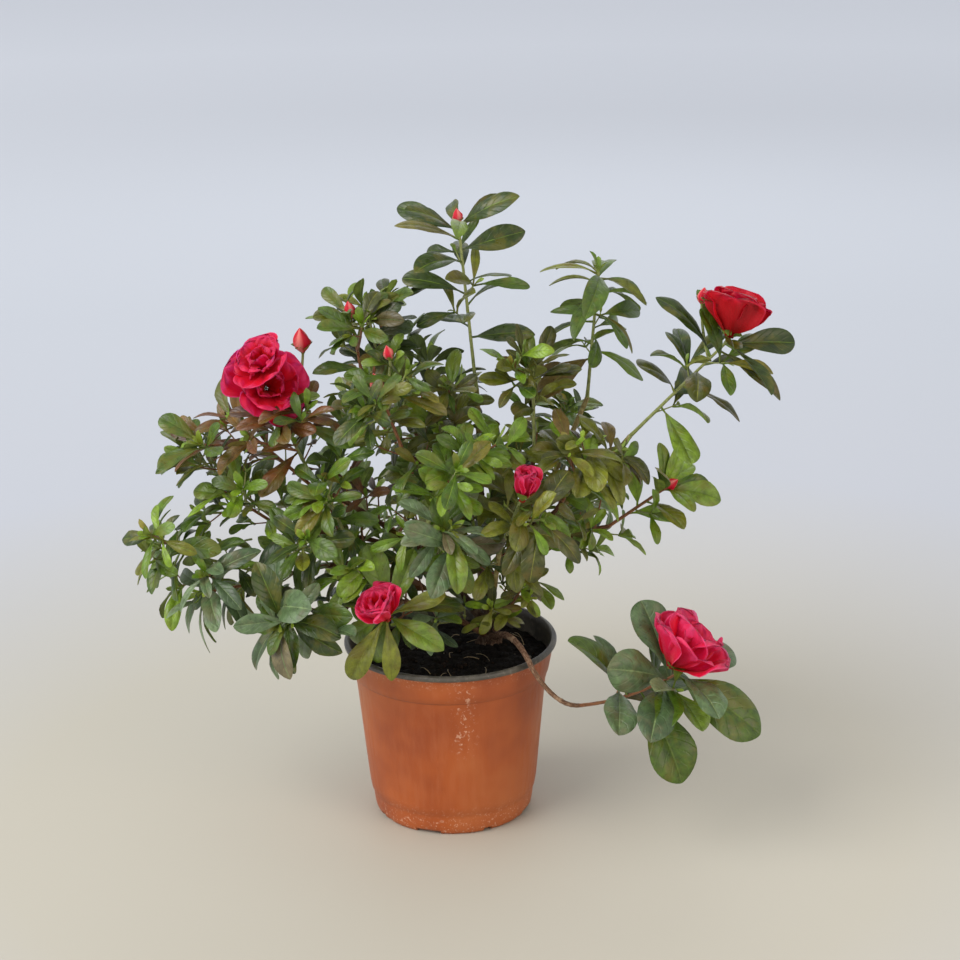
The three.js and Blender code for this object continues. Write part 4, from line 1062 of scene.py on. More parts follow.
def dress_twigs(masses):
    heap = Heap()
    for mass in masses:
        dice = Dice(mass.row["seed"] + TWIG_SEED)
        heap.nodes.add(mass.name)
        for twig in mass.twigs:
            foot = twig["foot"] * TWIG_SLIM
            paint = TWIG_OF.get(mass.name, 1 if dice.next() < 0.5 else 0)
            main = not twig["side"]
            start = limb_tip_radius(mass.row) if main else foot

            def radius(share, angle=0, foot=foot, start=start):
                flare = max(0, start - foot) * max(0, 1 - share * 9) ** 2
                return foot * (1 - (1 - TWIG_TIP_SHARE) * share) + flare
            tube(heap, twig["curve"], radius, 10 if main else 8, 1.6, paint, before=1.2 if main else 0.4,
                 relief=bark_relief(mass.row["seed"] + twig["spray"], 0.03, 3, 3))
        for bloom in mass.blooms:
            if bloom["stalk"] is None:
                continue
            base = bloom["centre"] - bloom["way"] * (bloom["width"] * BLOOM_SEAT)
            start = bloom["stalk"]
            middle = (start + base) / 2 + vec(0, 0, -1.5)
            tube(heap, Curve(start, middle, base), taper(1.1, 1.7), 8, 1.5, 0)
        for bud in extra_buds(mass):
            start = limbs[mass.name][0].point(0.8)
            base = bud["centre"] - bud["way"] * (bud["width"] * 0.68)
            middle = (start + base) / 2 + vec((base[0] - start[0]) * 0.4, 5, 0)
            tube(heap, Curve(start, middle, base), taper(0.9, 0.8), 8, 1.5, 0)
    return heap


def limb_tip_radius(row):
    if row.get("at", 1) != 1:
        return TWIG_RADIUS * 1.4
    return limbs[row["parent"]][1](1, 0) * 0.96


# Blossom
def petal_paint(inner):
    last = len(PETAL_COLS) - 2
    return lambda side, col: np.where((col == 0) | (col == last), PETAL_RIM,
                                      np.where(side == 1, PETAL_BACK, inner))


def dress_bloom(heap, green, bloom, look, dice):
    """A double bloom: rings of broad petals round a crumpled heart, on a small green calyx."""
    width, way = bloom["width"], unit(vec(*look["way"]))
    base = bloom["centre"] - way * (width * BLOOM_SEAT)
    azimuth = dice.between(0, 360)
    for count, opening, share, broad, crumple in look["rings"]:
        for i in range(count):
            out = outward(way, azimuth + 360 / count * i + dice.between(-16, 16))
            lean = opening * look["open"] * dice.between(0.76, 1.2)
            petal_way = opened(way, lean, out)
            lift = across(-opened(out, lean, -way), petal_way)
            petal = dict(root=base + way * (width * 0.05 * (1 - opening / 90)) + out * (width * 0.03),
                         way=petal_way, lift=lift, hang=0,
                         length=width * look["size"] * share * dice.between(0.88, 1.06),
                         plump=broad * dice.between(0.9, 1.1))
            # The inner ring takes the deep paint: partly deeper red, partly painted shade in the bloom's
            # heart.
            inner = PETAL_DEEP_AND_SHADE if opening < 20 else PETAL
            blade(heap, petal, petal_shape(dice, crumple), PETAL_ROWS, PETAL_COLS, petal_paint(inner))
        azimuth += 180 / count + dice.between(-8, 8)
    if bloom.get("stalk", way) is None:
        return
    reach, upright, hang = look["calyx"]
    paint = leaf_paint(ACCENT if look["calyx"] == TALL_CALYX else BASE, SMALL_COLS)
    for i in range(5):
        out = outward(way, azimuth + 72 * i)
        sepal_way = unit(way * upright + out)
        sepal = dict(root=base - way * 0.8, way=sepal_way, lift=across(way - out, sepal_way),
                     length=width * reach, plump=0.55, hang=hang)
        blade(green, sepal, leaf_shape(dice, True), SMALL_ROWS, SMALL_COLS, paint)


def dress_bud(heap, centre, way, width, height, paint, twist):
    """A closed bud of petals rolled one over the next."""
    rows, sides = 16, 30
    zero = across(VERTICAL, way)
    quarter = cross(way, zero)
    share = np.linspace(0.02, 0.97, rows)[:, None]
    angles = ring_angles(sides)[None, :]
    wide = np.sin(math.pi * share ** 0.85) * width / 2
    lap = (3 * angles / (2 * math.pi) + twist * share) % 1.0
    wide = wide * (0.84 + 0.24 * lap ** 2)
    places = centre + way * ((share - 0.5)[..., None] * height)
    skin = places + zero * (wide * np.cos(angles))[..., None] + quarter * (wide * np.sin(angles))[..., None]
    add_rings(heap, skin, share[:, 0] * height, paint, centre - way * height * 0.5,
              centre + way * height * 0.5)


# Pot and peat
def pot_profile():
    """The pot's outline from under its middle, out and up to the lip, and down inside to its floor,
    and how many of its points are clay."""
    lip_foot = POT_HEIGHT - LIP_HEIGHT
    collar_foot = lip_foot - COLLAR_HEIGHT
    lip_in = RIM_RADIUS - LIP_STAND
    underside = [
        (9, 0), (DISC_RADIUS - 1, 0), (DISC_RADIUS, 0.3), (DISC_RADIUS + 1.5, FOOT_GROOVE),
        (RING_INSIDE - 2, FOOT_GROOVE), (RING_INSIDE - 0.3, 0.4), (RING_INSIDE + 0.3, 0),
    ]
    wall = [(FOOT_RADIUS + out, up) for out, up in (
        (-2.6, 0), (-1.6, 0.3), (-0.7, 1.3), (0.2, 3.5), (0.7, 7), (1.1, 11), (1.4, 13.6), (2.2, 14.6),
        (LOW_FLARE, LOW_FLARE_HEIGHT), (5.1, 40), (7.2, 62), (BELLY, BELLY_HEIGHT),
        (10.9, collar_foot - 4.4), (11, COLLAR_LINE), (11.5, COLLAR_LINE + 0.4), (12.4, collar_foot + 1),
        (13.2, collar_foot + 5),
    )]
    neck = [(lip_in + out, lip_foot + up) for out, up in ((-0.1, -0.6), (0.5, 0.6), (1.3, 1.5))]
    lip = [(RIM_RADIUS + out, up) for out, up in (
        (-1.1, lip_foot + 1.7), (-0.4, lip_foot + 1.7), (-0.1, lip_foot + 2.1), (0, lip_foot + 2.6),
        (0, POT_HEIGHT - 1.4), (-0.5, POT_HEIGHT - 0.5), (-1.5, POT_HEIGHT), (-2.7, POT_HEIGHT - 0.2),
        (-3.4, POT_HEIGHT - 0.9),
    )]
    inside = [(FOOT_RADIUS + out - WALL, up) for out, up in (
        (COLLAR_FLARE, collar_foot), (BELLY, BELLY_HEIGHT), (LOW_FLARE, LOW_FLARE_HEIGHT), (0.2, FLOOR_TOP),
    )]
    clay = underside + wall + neck
    floor = [(20, FLOOR_TOP), (6, FLOOR_TOP)]
    return np.array(clay + lip + [(lip_in - WALL, lip_foot)] + inside + floor, float), len(clay)


def pot_angles():
    """Even steps round the pot, with closer ones at the edges of the drain notches."""
    angles = list(np.linspace(0, 2 * math.pi, POT_STEPS, endpoint=False))
    for turn, half in notches():
        for edge in (-half, half):
            angles += [turn + edge - 0.004, turn + edge + 0.004]
    return np.array(sorted(a % (2 * math.pi) for a in angles))


def notches():
    """The drain notches round the foot, each with its turn and half its width as an angle."""
    found = []
    for i in range(DRAIN_NOTCHES):
        width = NOTCH_WIDTH if i % 2 == 0 else NOTCH_WIDTH * NARROW_NOTCH
        found.append(((i + NOTCH_TURN) / DRAIN_NOTCHES * 2 * math.pi, math.asin(width / 2 / FOOT_RADIUS)))
    return found


def way_round(angles, turn):
    """The short way round from a turn to each angle."""
    return (angles - turn + math.pi) % (2 * math.pi) - math.pi


def dress_pot():
    profile, clay_count = pot_profile()
    angles = pot_angles()
    radius, height = (np.repeat(profile[:, k, None], len(angles), 1) for k in (0, 1))
    foot = (profile[:, 0] > RING_INSIDE - 1) & (profile[:, 1] < NOTCH_HEIGHT)
    for turn, half in notches():
        height[np.ix_(foot, np.abs(way_round(angles, turn)) < half)] = NOTCH_HEIGHT
    outer = (np.arange(len(profile)) < clay_count) & (profile[:, 1] > 12)
    seam = np.exp(-(way_round(angles, MOULD_SEAM) / 0.007) ** 2)
    radius[outer] += 0.12 * seam + 0.1 * np.sin(2 * angles + 0.7)
    chips = np.sin(7 * angles + 1) + np.sin(13 * angles + 2.4) + np.sin(29 * angles)
    low = (profile[:, 1] < 4) & (profile[:, 0] > RING_INSIDE + 2)
    radius[low] -= 0.18 * np.maximum(0, chips)
    skin = np.stack([radius * np.cos(angles), radius * np.sin(angles), height], -1)
    heap = Heap("pot")
    paint = np.where(np.arange(len(profile) - 1) >= clay_count, 1, 0).repeat(len(angles))
    add_rings(heap, skin, None, paint, vec(0, 0, 0), vec(0, 0, FLOOR_TOP), np.repeat((0, 1), len(angles)),
              True)
    return heap


def lumps(x, y, dice_seed, sizes):
    """A smooth rough height field: waves of several sizes that cross at seeded angles."""
    dice = Dice(dice_seed)
    total = 0
    for size, depth in sizes:
        for _ in range(5):
            angle, phase = dice.between(0, 6.28), dice.between(0, 6.28)
            total = total + depth * np.sin((x * math.cos(angle) + y * math.sin(angle)) * 6.28 / size + phase)
    return total


def dress_peat():
    """The peat's rough top, its side down the wall, and the clods on it."""
    rings, sides = 60, 150
    edge = FOOT_RADIUS + COLLAR_FLARE - WALL - 0.5
    r = edge * np.sqrt(np.linspace(0.0004, 1, rings))[:, None]
    angles = ring_angles(sides)
    x, y = r * np.cos(angles), r * np.sin(angles)
    height = PEAT_LEVEL - 1.2 + lumps(x, y, PEAT_SEED, ((23, 0.35), (9, 0.3), (4.2, 0.22)))
    near_trunk = np.hypot(x - TRUNK_FOOT[0], y - TRUNK_FOOT[1])
    height = height + 1.8 * np.exp(-(near_trunk / 11) ** 2)
    top = np.stack([x, y, height], -1)
    foot = FLOOR_TOP + SEAT_GAP
    inside = FOOT_RADIUS - WALL - 0.45
    levels = ((FOOT_RADIUS - 2, foot), (inside + LOW_FLARE, LOW_FLARE_HEIGHT),
              (inside + BELLY, BELLY_HEIGHT), (edge - 1.6, PEAT_LEVEL - 9))
    wall = [np.stack([radius * np.cos(angles), radius * np.sin(angles), np.full(sides, level)], -1)
            for radius, level in levels]
    skin = np.concatenate([wall, top[::-1]])
    heap = Heap("peat")
    add_rings(heap, skin, np.arange(len(skin)) * 1.0, 0, vec(0, 0, foot), top[0].mean(0))
    dice = Dice(PEAT_SEED)
    for number in range(CLODS):
        angle, out = dice.between(0, 6.28), edge * math.sqrt(dice.next()) * 0.97
        centre = vec(out * math.cos(angle), out * math.sin(angle), PEAT_LEVEL - 1.4)
        size = dice.between(0.7, 1.6) if number % 4 else dice.between(1.6, 3.4)
        if math.hypot(centre[0] - TRUNK_FOOT[0], centre[1] - TRUNK_FOOT[1]) < 8:
            continue
        grain = number % 29 == 0
        clod(heap, centre, size * (0.45 if grain else 1), dice, 2 if grain else number % 2)
    return heap


def clod(heap, centre, size, dice, paint):
    """A small uneven lump with flattened sides."""
    rings, sides = 5, 8
    share = (np.arange(rings) + 0.7) / (rings + 0.4)
    angles = ring_angles(sides)
    stretch = [dice.between(0.6, 1.3) for _ in range(3)]
    rough = np.array([[dice.between(0.78, 1.22) for _ in range(sides)] for _ in range(rings)])
    wide = np.sin(math.pi * share)[:, None] * rough * size
    skin = np.stack([wide * np.cos(angles) * stretch[0], wide * np.sin(angles) * stretch[1],
                     (np.repeat(-np.cos(math.pi * share)[:, None], sides, 1)) * size * 0.8 * stretch[2]], -1)
    skin = skin + centre
    add_rings(heap, skin, share * size, paint, skin[0].mean(0), skin[-1].mean(0))


def dress_strands():
    """Fine pale roots and dry stalks that lie on the peat."""
    heap = Heap("peat")
    dice = Dice(PEAT_SEED + 1)
    for _ in range(STRANDS):
        angle, out = dice.between(0, 6.28), 55 * math.sqrt(dice.next())
        start = vec(out * math.cos(angle), out * math.sin(angle), PEAT_LEVEL - 0.4)
        heading = dice.between(0, 6.28)
        reach = dice.between(6, 17)
        end = start + vec(math.cos(heading) * reach, math.sin(heading) * reach, dice.between(-0.5, 2.0))
        end[:2] *= min(1, 58 / max(1.0, math.hypot(end[0], end[1])))
        pull = (start + end) / 2 + vec(dice.between(-3, 3), dice.between(-3, 3), dice.between(1, 4.5))
        tube(heap, Curve(start, pull, end), taper(dice.between(0.22, 0.4), 0.12), 5, 1.4, 0)
    return heap


# Materials
def srgb(red, green, blue):
    """A display colour of 0 to 255 as the shader's linear colour."""
    def linear(c):
        c /= 255
        return c / 12.92 if c <= 0.04045 else ((c + 0.055) / 1.055) ** 2.4
    return linear(red), linear(green), linear(blue), 1.0


def scaled(colour, factor):
    return tuple(min(1.0, c * factor) for c in colour[:3]) + (1.0,)


class Paint:
    """A material under construction, with short ways to add and link nodes."""

    def __init__(self, name, roughness, specular=0.5, **sockets):
        self.material = bpy.data.materials.new(name)
        self.material.use_nodes = True
        self.tree = self.material.node_tree
        self.shader = self.tree.nodes["Principled BSDF"]
        self.shader.inputs["Roughness"].default_value = roughness
        self.shader.inputs["Specular IOR Level"].default_value = specular
        for socket, value in sockets.items():
            self.shader.inputs[socket.replace("_", " ")].default_value = value
        self.place = self.tree.nodes.new("ShaderNodeTexCoord")

    def node(self, kind, settings=None, **sockets):
        node = self.tree.nodes.new(kind)
        for key, value in (settings or {}).items():
            setattr(node, key, value)
        for key, value in sockets.items():
            self.feed(node.inputs[key.replace("_", " ")], value)
        return node

    def feed(self, socket, value):
        if isinstance(value, bpy.types.NodeSocket):
            self.tree.links.new(value, socket)
        else:
            socket.default_value = value

    def math(self, operation, a, b=0.0, c=0.0):
        node = self.tree.nodes.new("ShaderNodeMath")
        node.operation = operation
        for socket, value in zip(node.inputs, (a, b, c)):
            self.feed(socket, value)
        return node.outputs[0]

    def times(self, a, b):
        return self.math("MULTIPLY", a, b)

    def plus(self, a, b):
        return self.math("ADD", a, b)

    def minus(self, a, b):
        return self.math("SUBTRACT", a, b)

    def stretched(self, coordinates, scale):
        """The object's or the UV's coordinates, stretched for grain that runs one way."""
        node = self.node("ShaderNodeMapping", Vector=self.place.outputs[coordinates], Scale=scale)
        return node.outputs["Vector"]

    def noise(self, scale, detail=3.0, rough=0.55, vector=None):
        """Noise with a scale in repeats for each metre of the object."""
        node = self.node("ShaderNodeTexNoise", Vector=vector or self.place.outputs["Object"], Scale=scale,
                         Detail=detail, Roughness=rough)
        return node.outputs["Fac"]

    def ramp(self, factor, *stops):
        node = self.tree.nodes.new("ShaderNodeValToRGB")
        self.feed(node.inputs["Fac"], factor)
        band = node.color_ramp
        while len(band.elements) < len(stops):
            band.elements.new(0.5)
        for element, (position, colour) in zip(band.elements, stops):
            element.position = position
            element.color = colour
        return node.outputs["Color"]

    def step(self, factor, low, high, from_value=0.0, to_value=1.0):
        node = self.tree.nodes.new("ShaderNodeMapRange")
        for socket, value in zip(node.inputs, (factor, low, high, from_value, to_value)):
            self.feed(socket, value)
        return node.outputs["Result"]

    def blend(self, factor, first, second):
        node = self.tree.nodes.new("ShaderNodeMix")
        node.data_type = "RGBA"
        self.feed(node.inputs[0], factor)
        self.feed(node.inputs[6], first)
        self.feed(node.inputs[7], second)
        return node.outputs[2]

    def colour(self, value):
        self.feed(self.shader.inputs["Base Color"], value)

    def rough(self, value):
        self.feed(self.shader.inputs["Roughness"], value)

    def bump(self, height, distance, strength=1.0):
        node = self.node("ShaderNodeBump", Height=height, Distance=distance, Strength=strength)
        self.feed(self.shader.inputs["Normal"], node.outputs["Normal"])

    def uv(self):
        node = self.node("ShaderNodeSeparateXYZ", Vector=self.place.outputs["UV"])
        return node.outputs["X"], node.outputs["Y"]


def leaf_paint_material(name, colour, other, blotching=0.5, vein_tint=0.2, gloss=0.33):
    """A leaf's face: mottled green, pale side veins that run up to the rim, and a soft gloss."""
    paint = Paint(name, gloss, 0.5)
    u, t = paint.uv()
    lap = paint.times(paint.math("ABSOLUTE", paint.minus(u, 0.5)), 2.0)
    warp = paint.times(paint.noise(140, 2.0), 0.5)
    phase = paint.minus(paint.math("MULTIPLY_ADD", t, 7.5, warp), paint.times(lap, 1.9))
    vein = paint.step(paint.math("PINGPONG", phase, 0.5), 0.0, 0.1, 1.0, 0.0)
    mottle = paint.noise(210, 4.0, 0.6)
    flecks = paint.step(paint.noise(1400, 2.0), 0.62, 0.72)
    base = paint.ramp(mottle, (0.3, scaled(colour, 0.6)), (0.52, colour), (0.74, scaled(colour, 1.5)))
    blotch = paint.step(paint.noise(75, 3.0, 0.6), 0.5, 0.62)
    base = paint.blend(paint.times(blotch, blotching), base, other)
    base = paint.blend(paint.times(flecks, 0.22), base, scaled(colour, 1.9))
    paint.colour(paint.blend(paint.times(vein, vein_tint), base, scaled(colour, 1.7)))
    paint.rough(paint.step(paint.noise(420, 3.0), 0.3, 0.7, gloss - 0.07, gloss + 0.14))
    fine = paint.times(paint.noise(1900, 2.0), 0.3)
    quilt = paint.minus(paint.plus(fine, paint.noise(420, 2.0)), vein)
    paint.bump(quilt, 0.00022, 0.7)
    return paint.material


def leaf_set(tint, colours, under, rib):
    """The materials of one tint's leaves: shade, base, light, accent, rib and underside."""
    other = srgb(*colours[3])
    faces = [leaf_paint_material(tint + part, srgb(*colour), other)
             for part, colour in zip(("_shade", "_base", "_light", "_accent"), colours)]
    return faces + [leaf_paint_material(tint + "_rib", srgb(*rib), other, 0.0, 0.0, 0.5),
                    leaf_paint_material(tint + "_under", srgb(*under), other, 0.15, 0.3, 0.62)]


LEAF_COLOURS = dict(
    fresh=(((66, 94, 12), (92, 122, 18), (118, 148, 28), (104, 106, 16)), (124, 146, 54), (114, 138, 36)),
    mid=(((48, 66, 10), (70, 94, 18), (102, 126, 34), (108, 102, 24)), (112, 134, 58), (90, 112, 32)),
    deep=(((32, 44, 10), (44, 60, 16), (60, 78, 24), (78, 70, 34)), (88, 104, 52), (64, 82, 28)),
    grey=(((64, 84, 50), (84, 106, 66), (110, 130, 90), (104, 96, 66)), (128, 144, 92), (110, 130, 82)),
    olive=(((62, 68, 8), (86, 92, 14), (112, 118, 28), (100, 82, 26)), (130, 136, 60), (112, 114, 36)),
    bronze=(((74, 44, 16), (102, 62, 24), (116, 86, 30), (88, 92, 20)), (124, 112, 50), (120, 90, 40)),
    young=(((86, 116, 20), (112, 142, 32), (138, 164, 50), (128, 120, 40)), (136, 158, 68), (128, 152, 54)),
)


def bark_material(name, colours, ridge, gloss=0.8):
    paint = Paint(name, gloss, 0.3)
    dark, base, pale = (srgb(*c) for c in colours)
    grain = paint.noise(2.2, 5.0, 0.62, paint.stretched("UV", (9.0, 1.4, 1.0)))
    patches = paint.noise(150, 3.0)
    colour = paint.ramp(grain, (0.32, dark), (0.5, base), (0.68, pale))
    colour = paint.blend(paint.step(patches, 0.52, 0.66), colour, scaled(pale, 1.12))
    paint.colour(colour)
    paint.rough(paint.step(grain, 0.3, 0.7, gloss + 0.1, gloss - 0.12))
    crack = paint.times(paint.noise(1600, 4.0, 0.65), 0.4)
    paint.bump(paint.plus(grain, crack), ridge, 0.9)
    return paint.material


def twig_material(name, colours, gloss=0.55):
    paint = Paint(name, gloss, 0.35, Sheen_Weight=0.25, Sheen_Roughness=0.5)
    dark, base, pale = (srgb(*c) for c in colours)
    grain = paint.noise(3.0, 3.0, 0.55, paint.stretched("UV", (6.0, 0.8, 1.0)))
    colour = paint.ramp(grain, (0.34, dark), (0.5, base), (0.7, pale))
    paint.colour(paint.blend(paint.step(paint.noise(900, 2.0), 0.6, 0.7), colour, scaled(dark, 0.7)))
    paint.rough(paint.step(grain, 0.3, 0.7, gloss - 0.05, gloss + 0.15))
    paint.bump(paint.plus(grain, paint.noise(2400, 2.0)), 0.00018, 0.8)
    return paint.material


def petal_material(name, colour, heart, rim, gloss=0.5, streak=None):
    """Thin petals, deeper at the root and paler at the tip, with fine veins and a satin sheen. On a bloom the
    deeper root is partly the petals' own red and partly painted shade where they meet in the heart.
    """
    paint = Paint(name, gloss, 0.25, Sheen_Weight=0.02, Sheen_Roughness=0.5, Subsurface_Weight=0.35,
                  Subsurface_Radius=(1.0, 0.3, 0.3), Subsurface_Scale=0.006)
    u, t = paint.uv()
    fan = paint.times(paint.minus(u, 0.5), 26.0)
    warp = paint.times(paint.noise(200, 2.0), 3.0)
    veins = paint.step(paint.math("PINGPONG", paint.plus(fan, warp), 0.5), 0.0, 0.22, 1.0, 0.0)
    uneven = paint.plus(t, paint.times(paint.minus(paint.noise(170, 3.0), 0.5), 0.7))
    # On a bloom, the heart colour at the root is partly the petals' deeper red and partly painted shade.
    base = paint.ramp(uneven, (0.16, heart), (0.5, colour), (0.74, colour), (1.0, rim))
    if streak:
        lapping = paint.math("PINGPONG", paint.times(u, 3.0), 0.5)
        base = paint.blend(paint.step(lapping, 0.18, 0.42), base, streak)
    paint.colour(paint.blend(paint.times(veins, 0.14), base, scaled(colour, 0.66)))
    paint.rough(paint.step(paint.noise(700, 2.0), 0.3, 0.7, gloss - 0.08, gloss + 0.12))
    paint.bump(paint.plus(paint.times(veins, 0.5), paint.noise(900, 3.0)), 0.0002, 0.6)
    return paint.material


def petal_set(name, colours):
    face, heart, back, rim = (srgb(*colour) for colour in colours)
    return [petal_material(name + part, colour, heart, rim) for part, colour in
            (("_face", face), ("_heart", heart), ("_back", back), ("_rim", rim))]


# Face, heart, back and rim colours of each bloom tint; the heart is partly deeper red and partly painted
# shade.
PETAL_TINTS = (
    ((188, 4, 12), (158, 2, 6), (176, 4, 16), (196, 8, 28)),
    ((228, 8, 46), (200, 3, 16), (226, 16, 60), (234, 44, 94)),
    ((218, 4, 34), (190, 1, 10), (212, 8, 46), (228, 30, 82)),
)


def clay_material():
    """Moulded brown plastic: dull, with faint flow streaks, a broken line of painted shade in the collar's
    groove, and pale lime where it dried.
    """
    paint = Paint("pot_clay_plastic", 0.5, 0.62)
    base, dark, warm = srgb(172, 82, 24), srgb(150, 64, 10), srgb(184, 100, 46)
    colour = paint.ramp(paint.noise(16, 3.0), (0.35, dark), (0.52, base), (0.7, warm))
    x, y, z = (paint.node("ShaderNodeSeparateXYZ", Vector=paint.place.outputs["Object"]).outputs[k]
               for k in ("X", "Y", "Z"))
    streaks = paint.step(paint.noise(260, 4.0, 0.6, paint.stretched("Object", (1.0, 1.0, 0.16))), 0.45, 0.8)
    colour = paint.blend(paint.times(streaks, 0.14), colour, srgb(204, 132, 88))
    spots = paint.noise(520, 5.0, 0.7)
    near_foot = paint.step(z, 0.022, 0.004)
    near_rim = paint.step(z, 0.1, 0.106)
    ends = paint.math("MAXIMUM", near_foot, paint.times(near_rim, 0.8))
    lime = paint.times(ends, paint.step(spots, 0.56, 0.64))
    side = paint.step(paint.math("ABSOLUTE", paint.minus(x, 0.008)), 0.01, 0.002)
    band = paint.times(paint.step(z, 0.052, 0.062), paint.step(paint.noise(330, 5.0, 0.7), 0.57, 0.63))
    run = paint.times(paint.times(side, paint.step(y, 0.0, -0.02)), band)
    lime = paint.math("MAXIMUM", lime, run)
    # A broken dark line along the collar's groove: painted shade in the groove.
    ring = paint.math("ABSOLUTE", paint.minus(z, (COLLAR_LINE + 0.1) * MILLIMETRE))
    ring = paint.times(paint.step(ring, 0.0006, 0.0002), paint.step(paint.noise(40, 3.0), 0.3, 0.6))
    colour = paint.blend(paint.times(ring, 0.5), colour, srgb(112, 52, 22))
    paint.colour(paint.blend(paint.times(lime, 0.7), colour, srgb(226, 178, 148)))
    paint.rough(paint.step(paint.math("MAXIMUM", streaks, lime), 0.0, 1.0, 0.42, 0.7))
    grain = paint.plus(paint.times(paint.noise(2600, 2.0), 0.25), paint.noise(90, 2.0))
    paint.bump(paint.plus(grain, paint.times(lime, 0.8)), 0.00012, 0.6)
    return paint.material


def lip_material():
    """The pot's dark inner layer and rolled lip, scuffed paler along its edge."""
    paint = Paint("pot_dark_lip", 0.45, 0.5)
    scuffs = paint.step(paint.noise(300, 5.0, 0.68), 0.5, 0.74)
    colour = paint.ramp(paint.noise(60, 3.0), (0.35, srgb(56, 53, 47)), (0.55, srgb(76, 72, 63)),
                        (0.75, srgb(98, 92, 80)))
    paint.colour(paint.blend(paint.times(scuffs, 0.5), colour, srgb(150, 140, 126)))
    paint.rough(paint.step(scuffs, 0.0, 1.0, 0.38, 0.66))
    paint.bump(paint.plus(paint.noise(1500, 3.0), scuffs), 0.00014, 0.6)
    return paint.material


def peat_material(name, colours, gloss=0.95):
    paint = Paint(name, gloss, 0.2)
    dark, base, pale = (srgb(*c) for c in colours)
    grit = paint.noise(900, 5.0, 0.7)
    paint.colour(paint.ramp(grit, (0.36, dark), (0.54, base), (0.74, pale)))
    paint.rough(paint.step(paint.noise(260, 3.0), 0.3, 0.7, 0.7, 1.0))
    paint.bump(paint.plus(grit, paint.noise(260, 4.0)), 0.0012, 1.0)
    return paint.material


# The plant
def make_foliage(masses):
    for tint, heap in dress_leaves(masses).items():
        slot = "leaves_fresh" if tint == "young" else "leaves_" + tint
        heap.make("leaves_" + tint, leaf_set(tint, *LEAF_COLOURS[tint]), slot)
    shoots = [
        twig_material("shoot_green", ((104, 112, 56), (138, 146, 80), (170, 174, 112))),
        twig_material("shoot_red", ((94, 52, 32), (136, 84, 48), (170, 124, 78))),
    ]
    dress_twigs(masses).make("twigs", shoots, "bark")


def make_blossom(masses):
    petals = [Heap() for _ in PETAL_TINTS]
    buds, green = Heap(), Heap()
    for mass in masses:
        dice = Dice(mass.row["seed"] + BLOOM_SEED)
        for bloom, look in zip(mass.blooms, BLOOM_LOOKS.get(mass.name, [])):
            petals[look["tint"]].nodes.add(mass.name)
            green.nodes.add(mass.name)
            dress_bloom(petals[look["tint"]], green, bloom, look, dice)
        for bud in mass.buds + extra_buds(mass):
            green.nodes.add(mass.name)
            if bud["width"] > LARGE_BUD:
                petals[1].nodes.add(mass.name)
                look = dict(rings=ROLLED_BUD, open=1, size=2.15, calyx=TALL_CALYX,
                            way=bud["way"] + vec(0, 0, 0.6))
                dress_bloom(petals[1], green, dict(bud, centre=bud["centre"] + vec(0, -3, 1)), look, dice)
                continue
            buds.nodes.add(mass.name)
            dress_bud(buds, bud["centre"], bud["way"], bud["width"] * 0.92, bud["width"] * 1.4, 0,
                      dice.between(1.2, 1.8))
            dress_sepals(green, bud, dice)
    for number, heap in enumerate(petals):
        materials = petal_set("petal_%d" % number, PETAL_TINTS[number])
        heap.make("petals_%d" % number, materials, "leaves_bronze")
    rose = petal_material("bud_rose", srgb(196, 16, 44), srgb(206, 60, 74), srgb(190, 20, 44),
                          streak=srgb(222, 122, 116))
    buds.make("buds", [rose], "leaves_bronze")
    green.make("sepals", leaf_set("sepal", *LEAF_COLOURS["fresh"]), "leaves_fresh")


def extra_buds(mass):
    """The small buds beside a mass's bloom or bud, upright like it."""
    found = []
    for offset, width in EXTRA_BUDS.get(mass.name, []):
        beside = (mass.blooms or mass.buds)[0]
        way = unit(beside["way"] + vec(0, 0, 0.6))
        found.append(dict(centre=beside["centre"] + vec(*offset), way=way, width=width))
    return found


def dress_sepals(heap, bud, dice):
    """The green scales that hold a bud."""
    way, width = bud["way"], bud["width"]
    base = bud["centre"] - way * (width * 0.74)
    for i in range(6):
        out = outward(way, 60 * i + dice.between(-10, 10))
        scale_way = unit(way * 0.66 + out * 0.75)
        scale = dict(root=base, way=scale_way, lift=across(way - out, scale_way), length=width * 0.82,
                     plump=0.52, hang=-0.15)
        blade(heap, scale, leaf_shape(dice, True), SMALL_ROWS, SMALL_COLS, leaf_paint(BASE, SMALL_COLS))


def make_limbs():
    trunk, boughs = dress_limbs()
    barks = [
        bark_material("old_bark", ((46, 34, 28), (84, 62, 48), (128, 108, 88)), 0.0006),
        bark_material("young_bark", ((62, 38, 28), (98, 62, 42), (136, 104, 76)), 0.0003),
        bark_material("red_bark", ((66, 42, 32), (120, 86, 64), (170, 140, 112)), 0.0004),
        bark_material("green_bark", ((104, 78, 44), (138, 122, 72), (168, 158, 106)), 0.0002, 0.6),
    ]
    trunk.make("trunk_bark", barks[:1], "bark")
    boughs.make("bough_bark", barks, "bark", [row["name"] for row in BOUGHS])


def make_pot():
    dress_pot().make("pot_skin", [clay_material(), lip_material()], "pot_plastic")
    peats = [
        peat_material("peat_black", ((10, 8, 7), (24, 20, 17), (48, 40, 34))),
        peat_material("peat_brown", ((20, 14, 10), (44, 32, 24), (78, 60, 46))),
        peat_material("peat_grain", ((110, 104, 92), (156, 148, 132), (190, 184, 170))),
    ]
    dress_peat().make("peat_top", peats, "peat")
    strands = twig_material("dry_strand", ((120, 100, 72), (168, 148, 112), (206, 190, 156)), 0.75)
    dress_strands().make("peat_strands", [strands], "peat")


